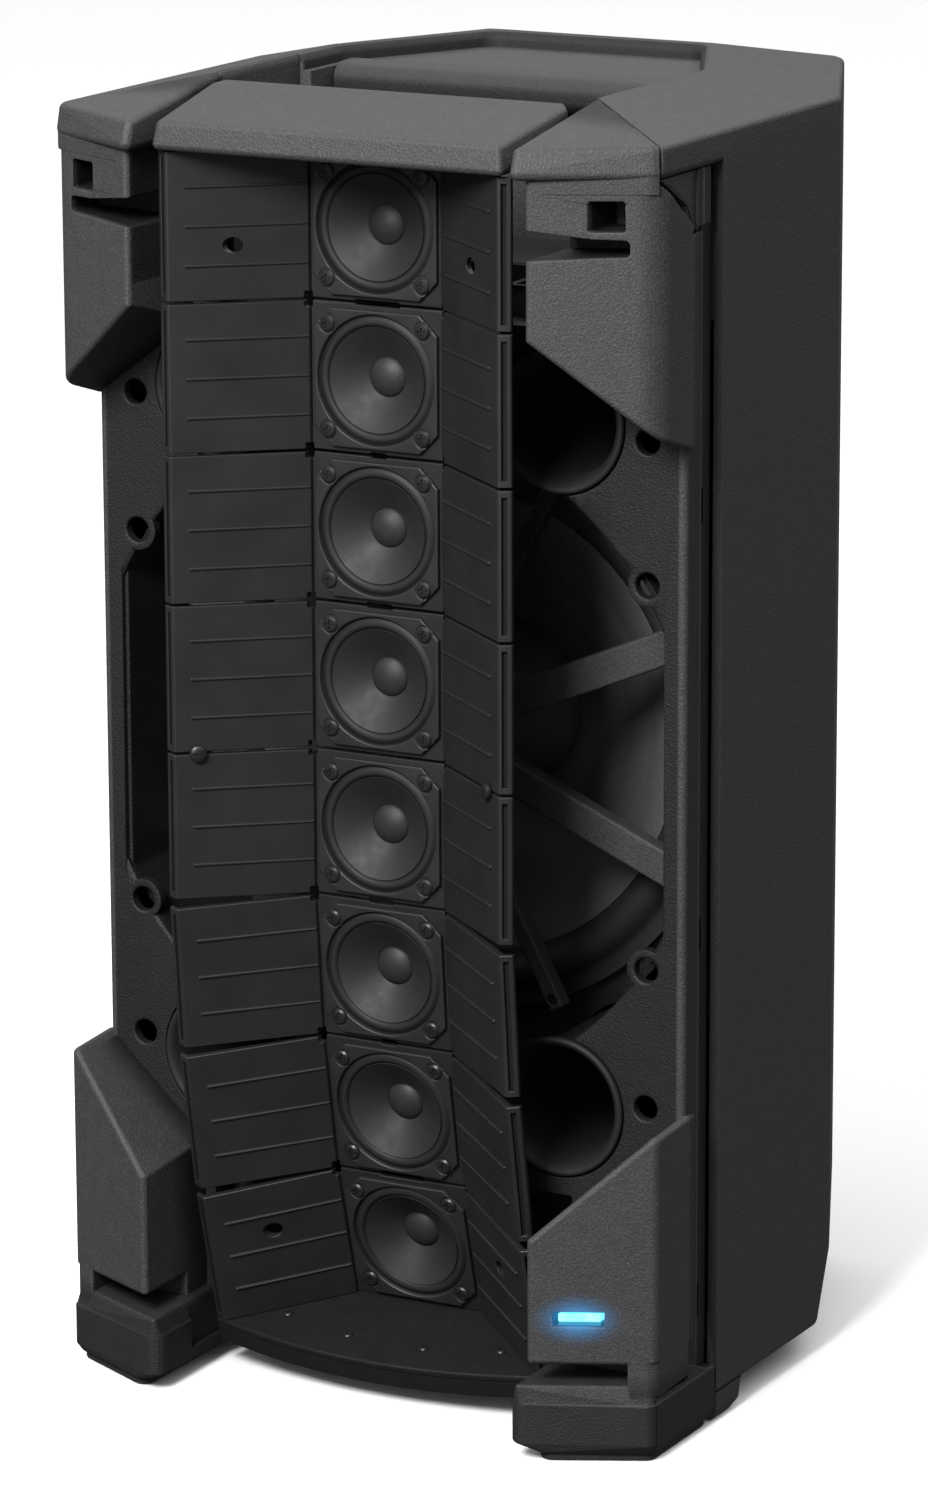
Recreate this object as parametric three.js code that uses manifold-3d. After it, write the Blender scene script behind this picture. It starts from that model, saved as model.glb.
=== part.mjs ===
// Portable flexible-array loudspeaker: a curved column of eight small drivers in hinged
// waveguide modules, standing in front of a twelve-inch woofer in a moulded cabinet.
// Units are millimetres, +Z is up, -Y is the front. The origin is the centre of the
// footprint's box on the floor.
import * as THREE from "three";
import { mergeVertices } from "three/addons/utils/BufferGeometryUtils.js";
import { ConvexGeometry } from "three/addons/geometries/ConvexGeometry.js";
import Module from "manifold-3d";

const wasm = await Module();
wasm.setup();

// ---------------------------------------------------------------- driving dimensions
const FRAME_SHIFT_Y = -115.5; // baffle plane (Y = 0 while modelling) to the footprint's centre
const HALF_W = 167.8; // half the cabinet's width
const REAR_Y = 302; // rear face
const TAPER_Y = 165; // the sides turn inwards behind this
const TOP_Z = 665.5; // rim around the handle recess
const CAP_EDGE_Z = 652.5; // outer upper edge of the cap
const CAP_LOW_Z = 637; // lower edge of the cap in front
const WALL = 5; // cabinet wall
const WOOFER_Z = 335;
const WOOFER_OPENING_R = 170;
const PORT_X = 95.5;
const PORT_Z = [164.2, 510.4];
const PORT_R = 28.5;
const PITCH = 75.5; // one array module
const ARRAY_MID_Z = 335; // joint between modules 4 and 5
const HINGE_Y = -8; // the array bends about lines in this plane
const BEND_DEG = 5; // per joint
const GAP = 0.8; // between modules
const WING_IN = [36.8, -9.9]; // waveguide corner next to the driver (x, y)
const WING_OUT = [91.3, -54]; // waveguide's outer corner
const FLANGE_OUT = [97.3, -50.8];
const DRIVER_HALF = 34.5; // square driver frame
const EPS = 0.3; // clearance between touching pieces

// ---------------------------------------------------------------- solids from geometry
function toSolid(geometry) {
  const g = geometry.clone();
  g.deleteAttribute("normal");
  g.deleteAttribute("uv");
  const m = mergeVertices(g, 1e-4);
  const p = m.attributes.position.array;
  const t = new Uint32Array(m.index.array);
  let vol = 0;
  for (let i = 0; i < t.length; i += 3) {
    const [a, b, c] = [t[i] * 3, t[i + 1] * 3, t[i + 2] * 3];
    vol +=
      p[a] * (p[b + 1] * p[c + 2] - p[b + 2] * p[c + 1]) -
      p[a + 1] * (p[b] * p[c + 2] - p[b + 2] * p[c]) +
      p[a + 2] * (p[b] * p[c + 1] - p[b + 1] * p[c]);
  }
  if (vol < 0)
    for (let i = 0; i < t.length; i += 3) [t[i + 1], t[i + 2]] = [t[i + 2], t[i + 1]];
  return new wasm.Manifold(
    new wasm.Mesh({ numProp: 3, vertProperties: new Float32Array(p), triVerts: t }),
  );
}

function toGeometry(solid) {
  const m = solid.getMesh();
  const n = m.numProp;
  const v = new Float32Array(m.numVert * 3);
  for (let i = 0; i < m.numVert; i++)
    v.set(m.vertProperties.subarray(i * n, i * n + 3), i * 3);
  const g = new THREE.BufferGeometry()
    .setAttribute("position", new THREE.BufferAttribute(v, 3))
    .setIndex(new THREE.BufferAttribute(new Uint32Array(m.triVerts), 1))
    .toNonIndexed();
  g.computeVertexNormals();
  return g;
}

const mat = (x, y, z) => new THREE.Matrix4().makeBasis(
  new THREE.Vector3(...x), new THREE.Vector3(...y), new THREE.Vector3(...z));

function extrude(points, depth) {
  const shape = new THREE.Shape(points.map(([a, b]) => new THREE.Vector2(a, b)));
  return new THREE.ExtrudeGeometry(shape, { depth, bevelEnabled: false, steps: 1 });
}
// outline in (x, y), from z0 to z1
const prismXY = (pts, z0, z1) => toSolid(extrude(pts, z1 - z0).translate(0, 0, z0));
// outline in (y, z), from x0 to x1
const prismYZ = (pts, x0, x1) =>
  toSolid(extrude(pts, x1 - x0).translate(0, 0, x0).applyMatrix4(mat([0, 1, 0], [0, 0, 1], [1, 0, 0])));
// outline in (x, z), from y0 to y1
const prismXZ = (pts, y0, y1) =>
  toSolid(extrude(pts, y1 - y0).translate(0, 0, -y1).applyMatrix4(mat([1, 0, 0], [0, 0, 1], [0, -1, 0])));
const box = (x0, x1, y0, y1, z0, z1) =>
  toSolid(new THREE.BoxGeometry(x1 - x0, y1 - y0, z1 - z0).translate((x0 + x1) / 2, (y0 + y1) / 2, (z0 + z1) / 2));
const hull = (pts) => toSolid(new ConvexGeometry(pts.map((p) => new THREE.Vector3(...p))));
// profile of (radius, y), turned about a line along Y through (cx, cz)
const latheY = (profile, cx, cz, seg = 28) =>
  toSolid(new THREE.LatheGeometry(profile.map(([r, y]) => new THREE.Vector2(r, y)), seg).translate(cx, 0, cz));
const rodY = (r, y0, y1, cx, cz, seg = 24) => latheY([[0, y0], [r, y0], [r, y1], [0, y1]], cx, cz, seg);
const rodZ = (r, z0, z1, cx, cy, seg = 24) =>
  toSolid(new THREE.CylinderGeometry(r, r, z1 - z0, seg).rotateX(Math.PI / 2).translate(cx, cy, (z0 + z1) / 2));
const rodX = (r, x0, x1, cy, cz, seg = 24) =>
  toSolid(new THREE.CylinderGeometry(r, r, x1 - x0, seg).rotateZ(Math.PI / 2).translate((x0 + x1) / 2, cy, cz));
// convex outline between two sloping faces
function obliquePrism(pts, zLow, zHigh) {
  return hull([...pts.map(([x, y]) => [x, y, zLow(x, y)]), ...pts.map(([x, y]) => [x, y, zHigh(x, y)])]);
}
const flipX = (pts) => pts.map(([x, ...r]) => [-x, ...r]);
const bothSides = (make) => make(1).add(make(-1));
const side = (s, pts) => (s > 0 ? pts : flipX(pts));

// ---------------------------------------------------------------- scene
const BLACK = { color: 0x2c2c2d, roughness: 0.78, metalness: 0 };
const SATIN = { color: 0x242425, roughness: 0.5, metalness: 0 };
const CONE = { color: 0x2b2b2d, roughness: 0.6, metalness: 0 };
const RUBBER = { color: 0x161616, roughness: 0.85, metalness: 0 };
const STEEL = { color: 0x55585c, roughness: 0.35, metalness: 1 };
const DARK_METAL = { color: 0x1b1b1c, roughness: 0.45, metalness: 0.6 };

const root = new THREE.Group();
const cabinet = new THREE.Group();
cabinet.position.set(0, FRAME_SHIFT_Y, 0);
root.add(cabinet);
function put(parent, name, solid, look) {
  const mesh = new THREE.Mesh(toGeometry(solid), new THREE.MeshStandardMaterial(look));
  mesh.name = name;
  parent.add(mesh);
  return mesh;
}

// ---------------------------------------------------------------- cap and rear cabinet
const ring = (pts, z) => [...pts, ...flipX(pts)].map(([x, y]) => [x, y, z]);
const capHull = hull([
  ...ring([[104, -71], [HALF_W, -34.3], [HALF_W, TAPER_Y], [108.1, 296], [102, REAR_Y]], CAP_LOW_Z),
  ...ring([[104.1, -65], [HALF_W - 1, -32], [HALF_W, TAPER_Y], [108.1, 296], [102, REAR_Y]], CAP_EDGE_Z),
  ...ring([[105.6, 21.3], [106.3, 138.7], [64.7, 230]], TOP_Z),
]);
// the front moulding's share of the cap: two ears in front of a slanting seam
const earRegion = (s) =>
  prismXY(side(s, [[104, -80], [180, -80], [180, -43.8], [105.9, 21], [104, 21]]), 630, 670);
const ears = bothSides((s) => capHull.intersect(earRegion(s)));
const rearCapRegion = prismXY(
  [[-180, -42.2], [-106.2, 22.2], [-104, 22.2], [-104, 11.7], [104, 11.7], [104, 22.2], [106.2, 22.2], [180, -42.2], [180, 310], [-180, 310]], 630, 670);
const bodyHull = hull([
  ...ring([[HALF_W, 33.4], [HALF_W, 150], [98, 284], [92, 288]], 15),
  ...ring([[HALF_W, 33.4], [HALF_W, TAPER_Y], [108.1, 296], [102, REAR_Y]], 53),
  ...ring([[HALF_W, 33.4], [HALF_W, TAPER_Y], [108.1, 296], [102, REAR_Y]], 640),
]);
const inner = [[HALF_W - WALL, 20], [HALF_W - WALL, TAPER_Y - 1.5], [104.4, 291], [100, REAR_Y - WALL]];
const innerPlan = [...inner, ...inner.map(([x, y]) => [-x, y]).reverse()];
const rearCabinet = capHull
  .intersect(rearCapRegion)
  .add(bodyHull)
  // main cavity, then the space beside and behind the hand pocket
  .subtract(prismXY(innerPlan, 58, 560))
  .subtract(prismXY([[162, 20], [162, 150], [98, 280], [92, 283], [-92, 283], [-98, 280], [-162, 150], [-162, 20]], 20, 59))
  .subtract(bothSides((s) => prismXY(side(s, [[110, 40], [162.8, 40], [162.8, 160], [112, 272], [110, 272]]), 550, 634)))
  .subtract(prismXY([[-110.5, 156], [110.5, 156], [110.5, 270], [101, 290], [-101, 290], [-110.5, 270]], 550, 645))
  // room for the front moulding's back
  .subtract(box(-162, 162, 10, 33.6, 58, 636.9))
  .subtract(box(-60, 60, 10, 79.6, 540, 575))
  // hand pocket under and in front of the bar
  .subtract(prismXY([[-104, 0], [104, 0], [104, 100], [98, 100], [98, 150], [-98, 150], [-98, 100], [-104, 100]], 572, 680))
  // recessed floor behind the bar
  .subtract(prismXY([[-101.5, 100], [101.5, 100], [101.5, 139], [60.5, 225.5], [-60.5, 225.5], [-101.5, 139]], 657, 680))
  // cut-out for the rear panel
  .subtract(box(-86, 86, 290, 310, 90, 470))
  // cup for a stand's pole in the bottom
  .subtract(rodZ(21.5, 10, 30, 0, 110, 24));
put(cabinet, "rear_cabinet", rearCabinet, BLACK);

// carrying bar across the hand pocket
put(cabinet, "top_handle",
  prismYZ([[122, 645], [126, 640], [149.6, 640], [149.6, 655], [146, 657.5], [130, 658.8], [124, 656.5], [122, 652]], -97.7, 97.7),
  BLACK);

// ---------------------------------------------------------------- front moulding
const PLATE_Z0 = 30, PLATE_Z1 = 636.7;
const shellPlan = [[-165, 32.8], [-165, 4], [-160.5, 0], [160.5, 0], [165, 4], [165, 16.5], [161.5, 17.5], [161.5, 32.8], [157, 32.8], [157, 6], [-157, 6], [-157, 32.8]];
shellPlan.splice(0, 1, [-161.5, 32.8], [-161.5, 17.5], [-165, 16.5]);
const blockPlan = [[109, -61.5], [152.5, -40.8], [160.5, -37], [165.6, -32.5], [HALF_W, -26], [HALF_W, 1.4], [165, 5.5], [109, 5.5]];
const upperBlock = (s) =>
  obliquePrism(side(s, blockPlan), (x, y) => 613.8 - 0.679 * Math.abs(x) - 0.34 * Math.min(y, 0), () => PLATE_Z1)
    .subtract(box(s > 0 ? 136.5 : -152.6, s > 0 ? 152.6 : -136.5, -80, -18, 612.4, 627.1))
    .subtract(hull(side(s, [[105, -80, 598], [138, -80, 600], [154.5, -80, 600.5], [154.5, -80, 608.5], [138, -80, 609.1], [105, -80, 613.9],
      [105, -14, 598], [138, -14, 600], [154.5, -14, 600.5], [154.5, -14, 608.5], [138, -14, 609.1], [105, -14, 613.9]])));
const lowerBlock = (s) =>
  obliquePrism(side(s, blockPlan), () => 50.2, (x, y) => 113.2 + 0.93 * (Math.abs(x) - 108.8) + 0.07 * (y + 61.5))
    .add(prismXY(side(s, [[154.1, -39.9], [160.5, -37], [165.6, -32.5], [HALF_W, -26], [HALF_W, 1.4], [165, 5.5], [109, 5.5], [109, -20], [154.1, -20]]), 33, 52));
const footPlan = [[100.4, -65.5], [HALF_W, -36.5], [HALF_W, 32.6], [100.4, 32.6]];
const footPlanLow = [[111.5, -60.3], [HALF_W - 2, -33], [HALF_W - 1.2, 32.6], [111.5, 32.6]];
const frontFoot = (s) =>
  hull([...side(s, footPlan.map(([x, y]) => [x, y, 31])), ...side(s, footPlan.map(([x, y]) => [x, y, 9])),
    ...side(s, footPlanLow.map(([x, y]) => [x, y, 4]))])
    .add(hull([...side(s, footPlan.map(([x, y]) => [x, y, 30.9])), ...side(s, [[104, -62, 39.5], [HALF_W - 3, -33, 39.5], [HALF_W - 3, 5, 39.5], [104, 5, 39.5]])]));
// side groove's gusset under the cap
const gusset = (s) => prismYZ([[-29.6, PLATE_Z1], [0, 620], [4.5, 609], [24.4, 609], [24.4, PLATE_Z1]], s > 0 ? 157.5 : -165.5, s > 0 ? 165.5 : -157.5);
// troughs that clear the bent ends of the array, and the deep channel behind it
const troughBox = (z0, z1) => box(-106, 106, 5, 24.5, z0, z1);
const clipped = (r, w, y0, y1) => rodY(r, y0, y1, 0, WOOFER_Z, 48).intersect(box(-w, w, y0 - 1, y1 + 1, 100, 600));
let well = clipped(WOOFER_OPENING_R + 3, 154.8, 5, 86.3)
  .subtract(clipped(WOOFER_OPENING_R, 151.7, 4, 83.3))
  .subtract(rodY(147, 80, 90, 0, WOOFER_Z, 40));
for (const s of [1, -1]) for (const z of PORT_Z) well = well.subtract(rodY(32.4, 4, 90, s * PORT_X, z, 20));
let baffle = prismXY(shellPlan, PLATE_Z0, PLATE_Z1)
  .add(well)
  .add(troughBox(20.3, 122))
  .add(box(-106, 106, 5, 33.1, 20.3, 34))
  .add(troughBox(552, 571.5))
  .add(box(-59.3, 59.3, 5, 79, 20.3, 158))
  .add(box(-59.3, 59.3, 5, 79, 512, 571.5))
  .add(box(-157, 157, 5, 14, 571, PLATE_Z1))
  .add(bothSides(upperBlock))
  .add(bothSides(lowerBlock))
  .add(bothSides(frontFoot))
  .add(bothSides(gusset))
  .add(bothSides((s) => prismXY(side(s, blockPlan), 630, 640).intersect(earRegion(s))))
  .add(ears);
for (const s of [1, -1]) {
  for (const z of [433.8, 240.8]) baffle = baffle.add(rodY(10.5, 0, 6, s * 144, z, 16));
}
const opening = clipped(WOOFER_OPENING_R, 151.7, -5, 83.3);
let bosses = rodY(10.5, -6, 6, 144, 433.8, 16);
for (const [sx, z] of [[1, 240.8], [-1, 433.8], [-1, 240.8]]) bosses = bosses.add(rodY(10.5, -6, 6, sx * 144, z, 16));
baffle = baffle
  .subtract(opening.subtract(bosses))
  // the plate's centre is open over its whole height, with a deep trough at each end
  .subtract(box(-55.8, 55.8, -30, 75, 24, 640))
  .subtract(box(-103, 103, -30, 21.5, 15, 118.5))
  .subtract(box(-66, 66, 15, 46, 15, 42))
  .subtract(box(-103, 103, -30, 21.5, 556, 640))
  .subtract(box(-103.9, 103.9, -80, 60, 572, 670));
for (const s of [1, -1]) {
  for (const z of PORT_Z) baffle = baffle.subtract(rodY(36.4, -5, 30, s * PORT_X, z, 28));
  for (const z of [504.5, 433.8, 240.8, 170.1]) baffle = baffle.subtract(rodY(6.2, -5, 4, s * 144, z, 12));
}
baffle = baffle
  .subtract(box(121.5, 144.3, -70, -40, 70.1, 77.6)) // window of the status light
  .subtract(box(121.5, 144.3, -60, -34, 70.1, 77.6));
put(cabinet, "front_baffle", baffle, BLACK);
put(cabinet, "status_light",
  hull([[121.9, -55, 70.5], [143.9, -44.6, 70.5], [143.9, -34.5, 70.5], [121.9, -34.5, 70.5],
    [121.9, -55, 77.2], [143.9, -44.6, 77.2], [143.9, -34.5, 77.2], [121.9, -34.5, 77.2]]),
  { color: 0x46dcf5, roughness: 0.3, metalness: 0, emissive: 0x2fb6da, emissiveIntensity: 1 });

// rubber feet under the four corners
const padPlanF = [[112, -58], [HALF_W - 3, -31.5], [HALF_W - 3, 30], [112, 30]];
for (const [s, tag] of [[-1, "left"], [1, "right"]]) {
  put(cabinet, "rubber_foot_front_" + tag, prismXY(side(s, padPlanF), 0, 3.7), RUBBER);
  put(cabinet, "rubber_foot_rear_" + tag,
    hull([...side(s, [[128, 190], [140, 190], [116, 240], [84, 266], [70, 266], [70, 250]]).map(([x, y]) => [x, y, 0]),
      ...side(s, [[126, 186], [145, 186], [119, 242], [86, 270], [66, 270], [66, 248]]).map(([x, y]) => [x, y, 14.7])]), RUBBER);
  // moulded foot along each side, behind the front blocks
  put(cabinet, "side_foot_" + tag,
    hull([...side(s, [[112, 33.6], [HALF_W - 0.2, 33.6], [HALF_W - 0.2, 66], [112, 66]]).map(([x, y]) => [x, y, 14.7]),
      ...side(s, [[112, 33.6], [HALF_W - 0.2, 33.6], [HALF_W - 0.2, 63], [112, 63]]).map(([x, y]) => [x, y, 5]),
      ...side(s, [[114, 33.6], [HALF_W - 3, 33.6], [HALF_W - 3, 57], [114, 57]]).map(([x, y]) => [x, y, 0])]), BLACK);
}
// cup that takes a 35 mm stand pole
put(cabinet, "pole_socket",
  toSolid(new THREE.LatheGeometry([[17.8, 15.2], [21.2, 15.2], [21.2, 95], [0, 95], [0, 91], [17.8, 91], [17.8, 15.2]].map(([r, y]) => new THREE.Vector2(r, y)), 20)
    .rotateX(Math.PI / 2).translate(0, 110, 0)), BLACK);

// ---------------------------------------------------------------- ports and woofer
for (const [s, tx] of [[-1, "left"], [1, "right"]])
  PORT_Z.forEach((z, i) => {
    const r = PORT_R;
    put(cabinet, "port_tube_" + (i ? "upper_" : "lower_") + tx,
      latheY([[r, 118], [r + 2.6, 118], [r + 2.6, 9], [35.8, 3.5], [35.8, -1], [33.5, -1.6], [r + 0.6, 4.5], [r, 12], [r, 118]], s * PORT_X, z, 24), BLACK);
  });
const W = WOOFER_Z;
put(cabinet, "woofer_basket",
  latheY([[144, 79.4], [150.8, 79.4], [150.8, 82.9], [145.4, 82.9], [118, 130], [92, 168], [64, 176], [64, 170], [88, 163], [112, 128], [138, 84], [144, 82.5], [144, 79.4]], 0, W, 28)
    .subtract(box(-20, 20, 95, 160, W - 160, W + 160))
    .subtract(box(-160, 160, 95, 160, W - 20, W + 20)), DARK_METAL);
put(cabinet, "woofer_magnet", latheY([[0, 176.4], [78, 176.4], [80, 178.5], [80, 214], [77, 217], [24, 217], [18, 212], [0, 212]], 0, W, 28), DARK_METAL);
put(cabinet, "woofer_surround",
  latheY([[122, 78.9], [126, 72], [131.5, 69], [137, 69.5], [142, 75.5], [150, 76.5], [150, 79], [141, 79], [136, 72.8], [131.5, 72.5], [124.5, 81], [122, 78.9]], 0, W, 32), RUBBER);
put(cabinet, "woofer_cone",
  latheY([[0, 104], [22, 108], [43, 121.5], [43.5, 124.5], [80, 103], [121, 79.9], [121.2, 82], [80, 106.5], [50, 125], [50, 160], [47, 160], [47, 129], [40, 125], [18, 111.5], [0, 108]], 0, W, 28), CONE);

// bracket that carries the array: hub, stub and eight legs across the woofer's opening
const legAngles = [23, 62, 118, 157, 203, 242, 298, 337];
let bracket = rodY(34, 44, 56, 0, 337, 24).add(box(-26, 26, 36, 46, 330.5, 339.5)).add(box(-7, 7, -3.5, 46, 331.5, 338.5));
for (const a of legAngles) {
  const flat = a % 180 < 30 || a % 180 > 150;
  const w = flat ? 8.6 : 4.2;
  const c = Math.cos((a * Math.PI) / 180), d = Math.sin((a * Math.PI) / 180);
  const reach = flat ? 172 : 155;
  const n = [-d * w, c * w];
  bracket = bracket.add(prismXZ([[c * 20 + n[0], 337 + d * 20 + n[1]], [c * 20 - n[0], 337 + d * 20 - n[1]], [c * reach - n[0], 337 + d * reach - n[1]], [c * reach + n[0], 337 + d * reach + n[1]]], 42, 52));
}
bracket = bracket.intersect(box(-151.3, 151.3, -10, 80, 170, 500));
put(cabinet, "array_bracket", bracket, BLACK);

// ---------------------------------------------------------------- the array
// One waveguide module, drawn straight with the driver's centre at z = 0.
const hz = PITCH / 2 - GAP / 2;
const T = 2.6;
const platePlan = [
  [-FLANGE_OUT[0], FLANGE_OUT[1]], [-WING_OUT[0], WING_OUT[1]], [-WING_IN[0], WING_IN[1]], [-WING_IN[0] + 0.2, -7.6],
  [WING_IN[0] - 0.2, -7.6], [WING_IN[0], WING_IN[1]], [WING_OUT[0], WING_OUT[1]], [FLANGE_OUT[0], FLANGE_OUT[1]],
  [FLANGE_OUT[0] - 0.4, FLANGE_OUT[1] + T], [WING_OUT[0] + 1.2, WING_OUT[1] + T + 1.2], [WING_IN[0] + 0.9, WING_IN[1] + 3.4], [WING_IN[0] - 1.2, -4.6],
  [-WING_IN[0] + 1.2, -4.6], [-WING_IN[0] - 0.9, WING_IN[1] + 3.4], [-WING_OUT[0] - 1.2, WING_OUT[1] + T + 1.2], [-FLANGE_OUT[0] + 0.4, FLANGE_OUT[1] + T]];
function moduleHousing(i) {
  let m = prismXY(platePlan, -hz, hz).subtract(rodY(30.6, -20, 5, 0, 0, 20));
  // relief notch at the inner end of each joint between modules
  for (const s of [1, -1]) {
    if (i !== 1) m = m.subtract(box(s * 37.5 - 1.4, s * 37.5 + 1.4, -20, 5, hz - 3.4, hz + 1));
    if (i !== 8) m = m.subtract(box(s * 37.5 - 1.4, s * 37.5 + 1.4, -20, 5, -hz - 1, -hz + 3.4));
    // hole through the wing of the first and last module
    if (i === 1 || i === 8) m = m.subtract(rodY(4, -60, 10, s * 66, i === 1 ? -10 : 10, 10));
  }
  return m;
}
// profile of one driver's frame with its motor: chamfered square flange, basket, magnet
const D = DRIVER_HALF, CH = 10;
const squarePlan = [[-D + CH, -D], [D - CH, -D], [D, -D + CH], [D, D - CH], [D - CH, D], [-D + CH, D], [-D, D - CH], [-D, -D + CH]];
const driverFrame = () =>
  prismXZ(squarePlan, -10.3, -7.9)
    .add(latheY([[0, 8], [19, 8], [27, -6.5], [27, -8.2], [30, -8.2], [22, 9], [21.5, 26], [0, 26]], 0, 0, 20))
    .subtract(rodY(27, -12, -6, 0, 0, 20));
// surround and cone, standing a little proud of the flange
const driverCone = () =>
  latheY([[0, -0.6], [7, 0.6], [10, 2.6], [26.1, -8.6], [25.6, -7], [9.5, 4.6], [9.5, 5.8], [0, 5.8]], 0, 0, 16);

// joint levels and the bent lower half
const hinges = [];
const group = {};
for (let i = 1; i <= 5; i++) {
  const g = new THREE.Group();
  g.position.set(0, 0, ARRAY_MID_Z + PITCH * (4.5 - i));
  cabinet.add(g);
  group[i] = g;
}
let hy = HINGE_Y, hzTop = ARRAY_MID_Z - PITCH;
for (let i = 6; i <= 8; i++) {
  const a = ((i - 5) * BEND_DEG * Math.PI) / 180;
  hinges.push([hy, hzTop]);
  const outer = new THREE.Group();
  outer.position.set(0, hy, hzTop);
  outer.rotation.x = a;
  const innerGroup = new THREE.Group();
  innerGroup.position.set(0, -HINGE_Y, -PITCH / 2);
  outer.add(innerGroup);
  cabinet.add(outer);
  group[i] = innerGroup;
  hy += PITCH * Math.sin(a);
  hzTop -= PITCH * Math.cos(a);
}
for (let i = 1; i <= 8; i++) {
  put(group[i], "module_housing_" + i, moduleHousing(i), SATIN);
  put(group[i], "driver_frame_" + i, driverFrame(), SATIN);
  put(group[i], "driver_cone_" + i, driverCone(), CONE);
}

// lip on top of module 1: closes the array against the cap
const lipZ = (z) => z - (ARRAY_MID_Z + PITCH * 3.5);
put(group[1], "array_top_lip",
  hull([
    [-96.6, -59.7, lipZ(637.3)], [96.6, -59.7, lipZ(637.3)], [-97.5, -20, lipZ(637.3)], [97.5, -20, lipZ(637.3)],
    [-94.6, -57.2, lipZ(651.4)], [94.6, -57.2, lipZ(651.4)], [-99, 4, lipZ(663)], [99, 4, lipZ(663)],
    [-94, 11, lipZ(664.3)], [94, 11, lipZ(664.3)], [-99, 4, lipZ(652)], [99, 4, lipZ(652)], [-94, 11, lipZ(654)], [94, 11, lipZ(654)],
  ]).subtract(hull([[-90, -50, lipZ(630)], [90, -50, lipZ(630)], [-92, -22, lipZ(630)], [92, -22, lipZ(630)],
    [-88, -50, lipZ(644)], [88, -50, lipZ(644)], [-92, -4, lipZ(652)], [92, -4, lipZ(652)], [-92, -4, lipZ(640)], [92, -4, lipZ(640)]])), BLACK);

// floor of the waveguide under module 8, with a bowed front edge
const bow = [];
for (let k = -6; k <= 6; k++) bow.push([(k / 6) * 96.5, -52 - 14 * (1 - (k / 6) ** 2)]);
put(group[8], "array_bottom_plate",
  prismXY([...bow, [97.3, -46], [40, -4.6], [-40, -4.6], [-97.3, -46]], -hz - 13.5, -hz - EPS), BLACK);

// pins of the fixed joint between modules 4 and 5
for (const [s, tag] of [[-1, "left"], [1, "right"]]) {
  const x = s * 82, y = WING_IN[1] + ((82 - WING_IN[0]) / (WING_OUT[0] - WING_IN[0])) * (WING_OUT[1] - WING_IN[1]);
  put(cabinet, "array_clip_" + tag, hull([
    [x - 4, y - 3.6 + s * 0, ARRAY_MID_Z], [x + 4, y - 3.6, ARRAY_MID_Z], [x - 2.6, y - 3.6, ARRAY_MID_Z + 3.4], [x + 2.6, y - 3.6, ARRAY_MID_Z + 3.4],
    [x - 2.6, y - 3.6, ARRAY_MID_Z - 3.4], [x + 2.6, y - 3.6, ARRAY_MID_Z - 3.4],
    [x - 4, y - 6.2, ARRAY_MID_Z], [x + 4, y - 6.2, ARRAY_MID_Z], [x - 2.6, y - 6.2, ARRAY_MID_Z + 3.4], [x + 2.6, y - 6.2, ARRAY_MID_Z + 3.4],
    [x - 2.6, y - 6.2, ARRAY_MID_Z - 3.4], [x + 2.6, y - 6.2, ARRAY_MID_Z - 3.4]]), STEEL);
}

// ---------------------------------------------------------------- rear panel and electronics
let panel = box(-85.5, 85.5, 292, 296, 90.5, 469.5)
  .subtract(box(-16, 16, 280, 300, 122, 146)) // power inlet
  .subtract(box(22, 40, 280, 300, 120, 148)) // power switch
  .subtract(rodY(3.6, 280, 300, 40, 380, 16))
  .subtract(rodY(12.1, 280, 300, -40, 420, 16))
  .subtract(rodY(12.1, 280, 300, -40, 370, 16))
  .subtract(rodY(3.4, 280, 300, 10, 420, 16))
  .subtract(rodY(3.4, 280, 300, 10, 370, 16));
put(cabinet, "amplifier_panel", panel, DARK_METAL);
let sink = box(-70, 70, 296.3, 298.5, 165, 335);
for (let k = 0; k < 12; k++) sink = sink.add(box(-68 + k * 12, -65.5 + k * 12, 298, 301.8, 165, 335));
put(cabinet, "heat_sink", sink, DARK_METAL);
put(cabinet, "amplifier_board", box(-75, 75, 262, 264, 110, 345).add(box(-70, 70, 264, 280, 175, 215)).add(box(-60, -30, 240, 262.5, 230, 300)).add(box(0, 50, 232, 262.5, 240, 300)), { color: 0x1f5132, roughness: 0.6, metalness: 0.1 });
put(cabinet, "power_inlet", box(-15.7, 15.7, 266, 297.5, 122.3, 145.7).subtract(box(-12, 12, 274, 300, 125, 143)), { color: 0x101010, roughness: 0.5, metalness: 0 });
const jack = (z) => latheY([[7.4, 270], [11.7, 270], [11.7, 297.8], [7.4, 297.8], [7.4, 270]], -40, z, 16);
put(cabinet, "input_jack_1", jack(420), { color: 0x121212, roughness: 0.45, metalness: 0 });
put(cabinet, "input_jack_2", jack(370), { color: 0x121212, roughness: 0.45, metalness: 0 });
const knob = (z) => latheY([[0, 288], [3, 288], [3, 296.6], [9, 296.6], [8.2, 301.8], [0, 301.8]], 10, z, 16);
put(cabinet, "level_knob_1", knob(420).add(box(9.2, 10.8, 297, 301.9, 420, 429.6)), { color: 0x161616, roughness: 0.5, metalness: 0 });
put(cabinet, "level_knob_2", knob(370).add(box(9.2, 10.8, 297, 301.9, 370, 379.6)), { color: 0x161616, roughness: 0.5, metalness: 0 });
const rocker = new THREE.Group(); // rests switched on, 7 degrees off level
rocker.position.set(0, 291, 134);
rocker.rotation.x = (-7 * Math.PI) / 180;
cabinet.add(rocker);
put(rocker, "power_switch", prismYZ([[-3, -6], [5.2, -12.2], [9, -12], [6.6, 0], [9, 12], [5.2, 12.2], [-3, 6]], 23, 39), { color: 0x101010, roughness: 0.4, metalness: 0 });
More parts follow.
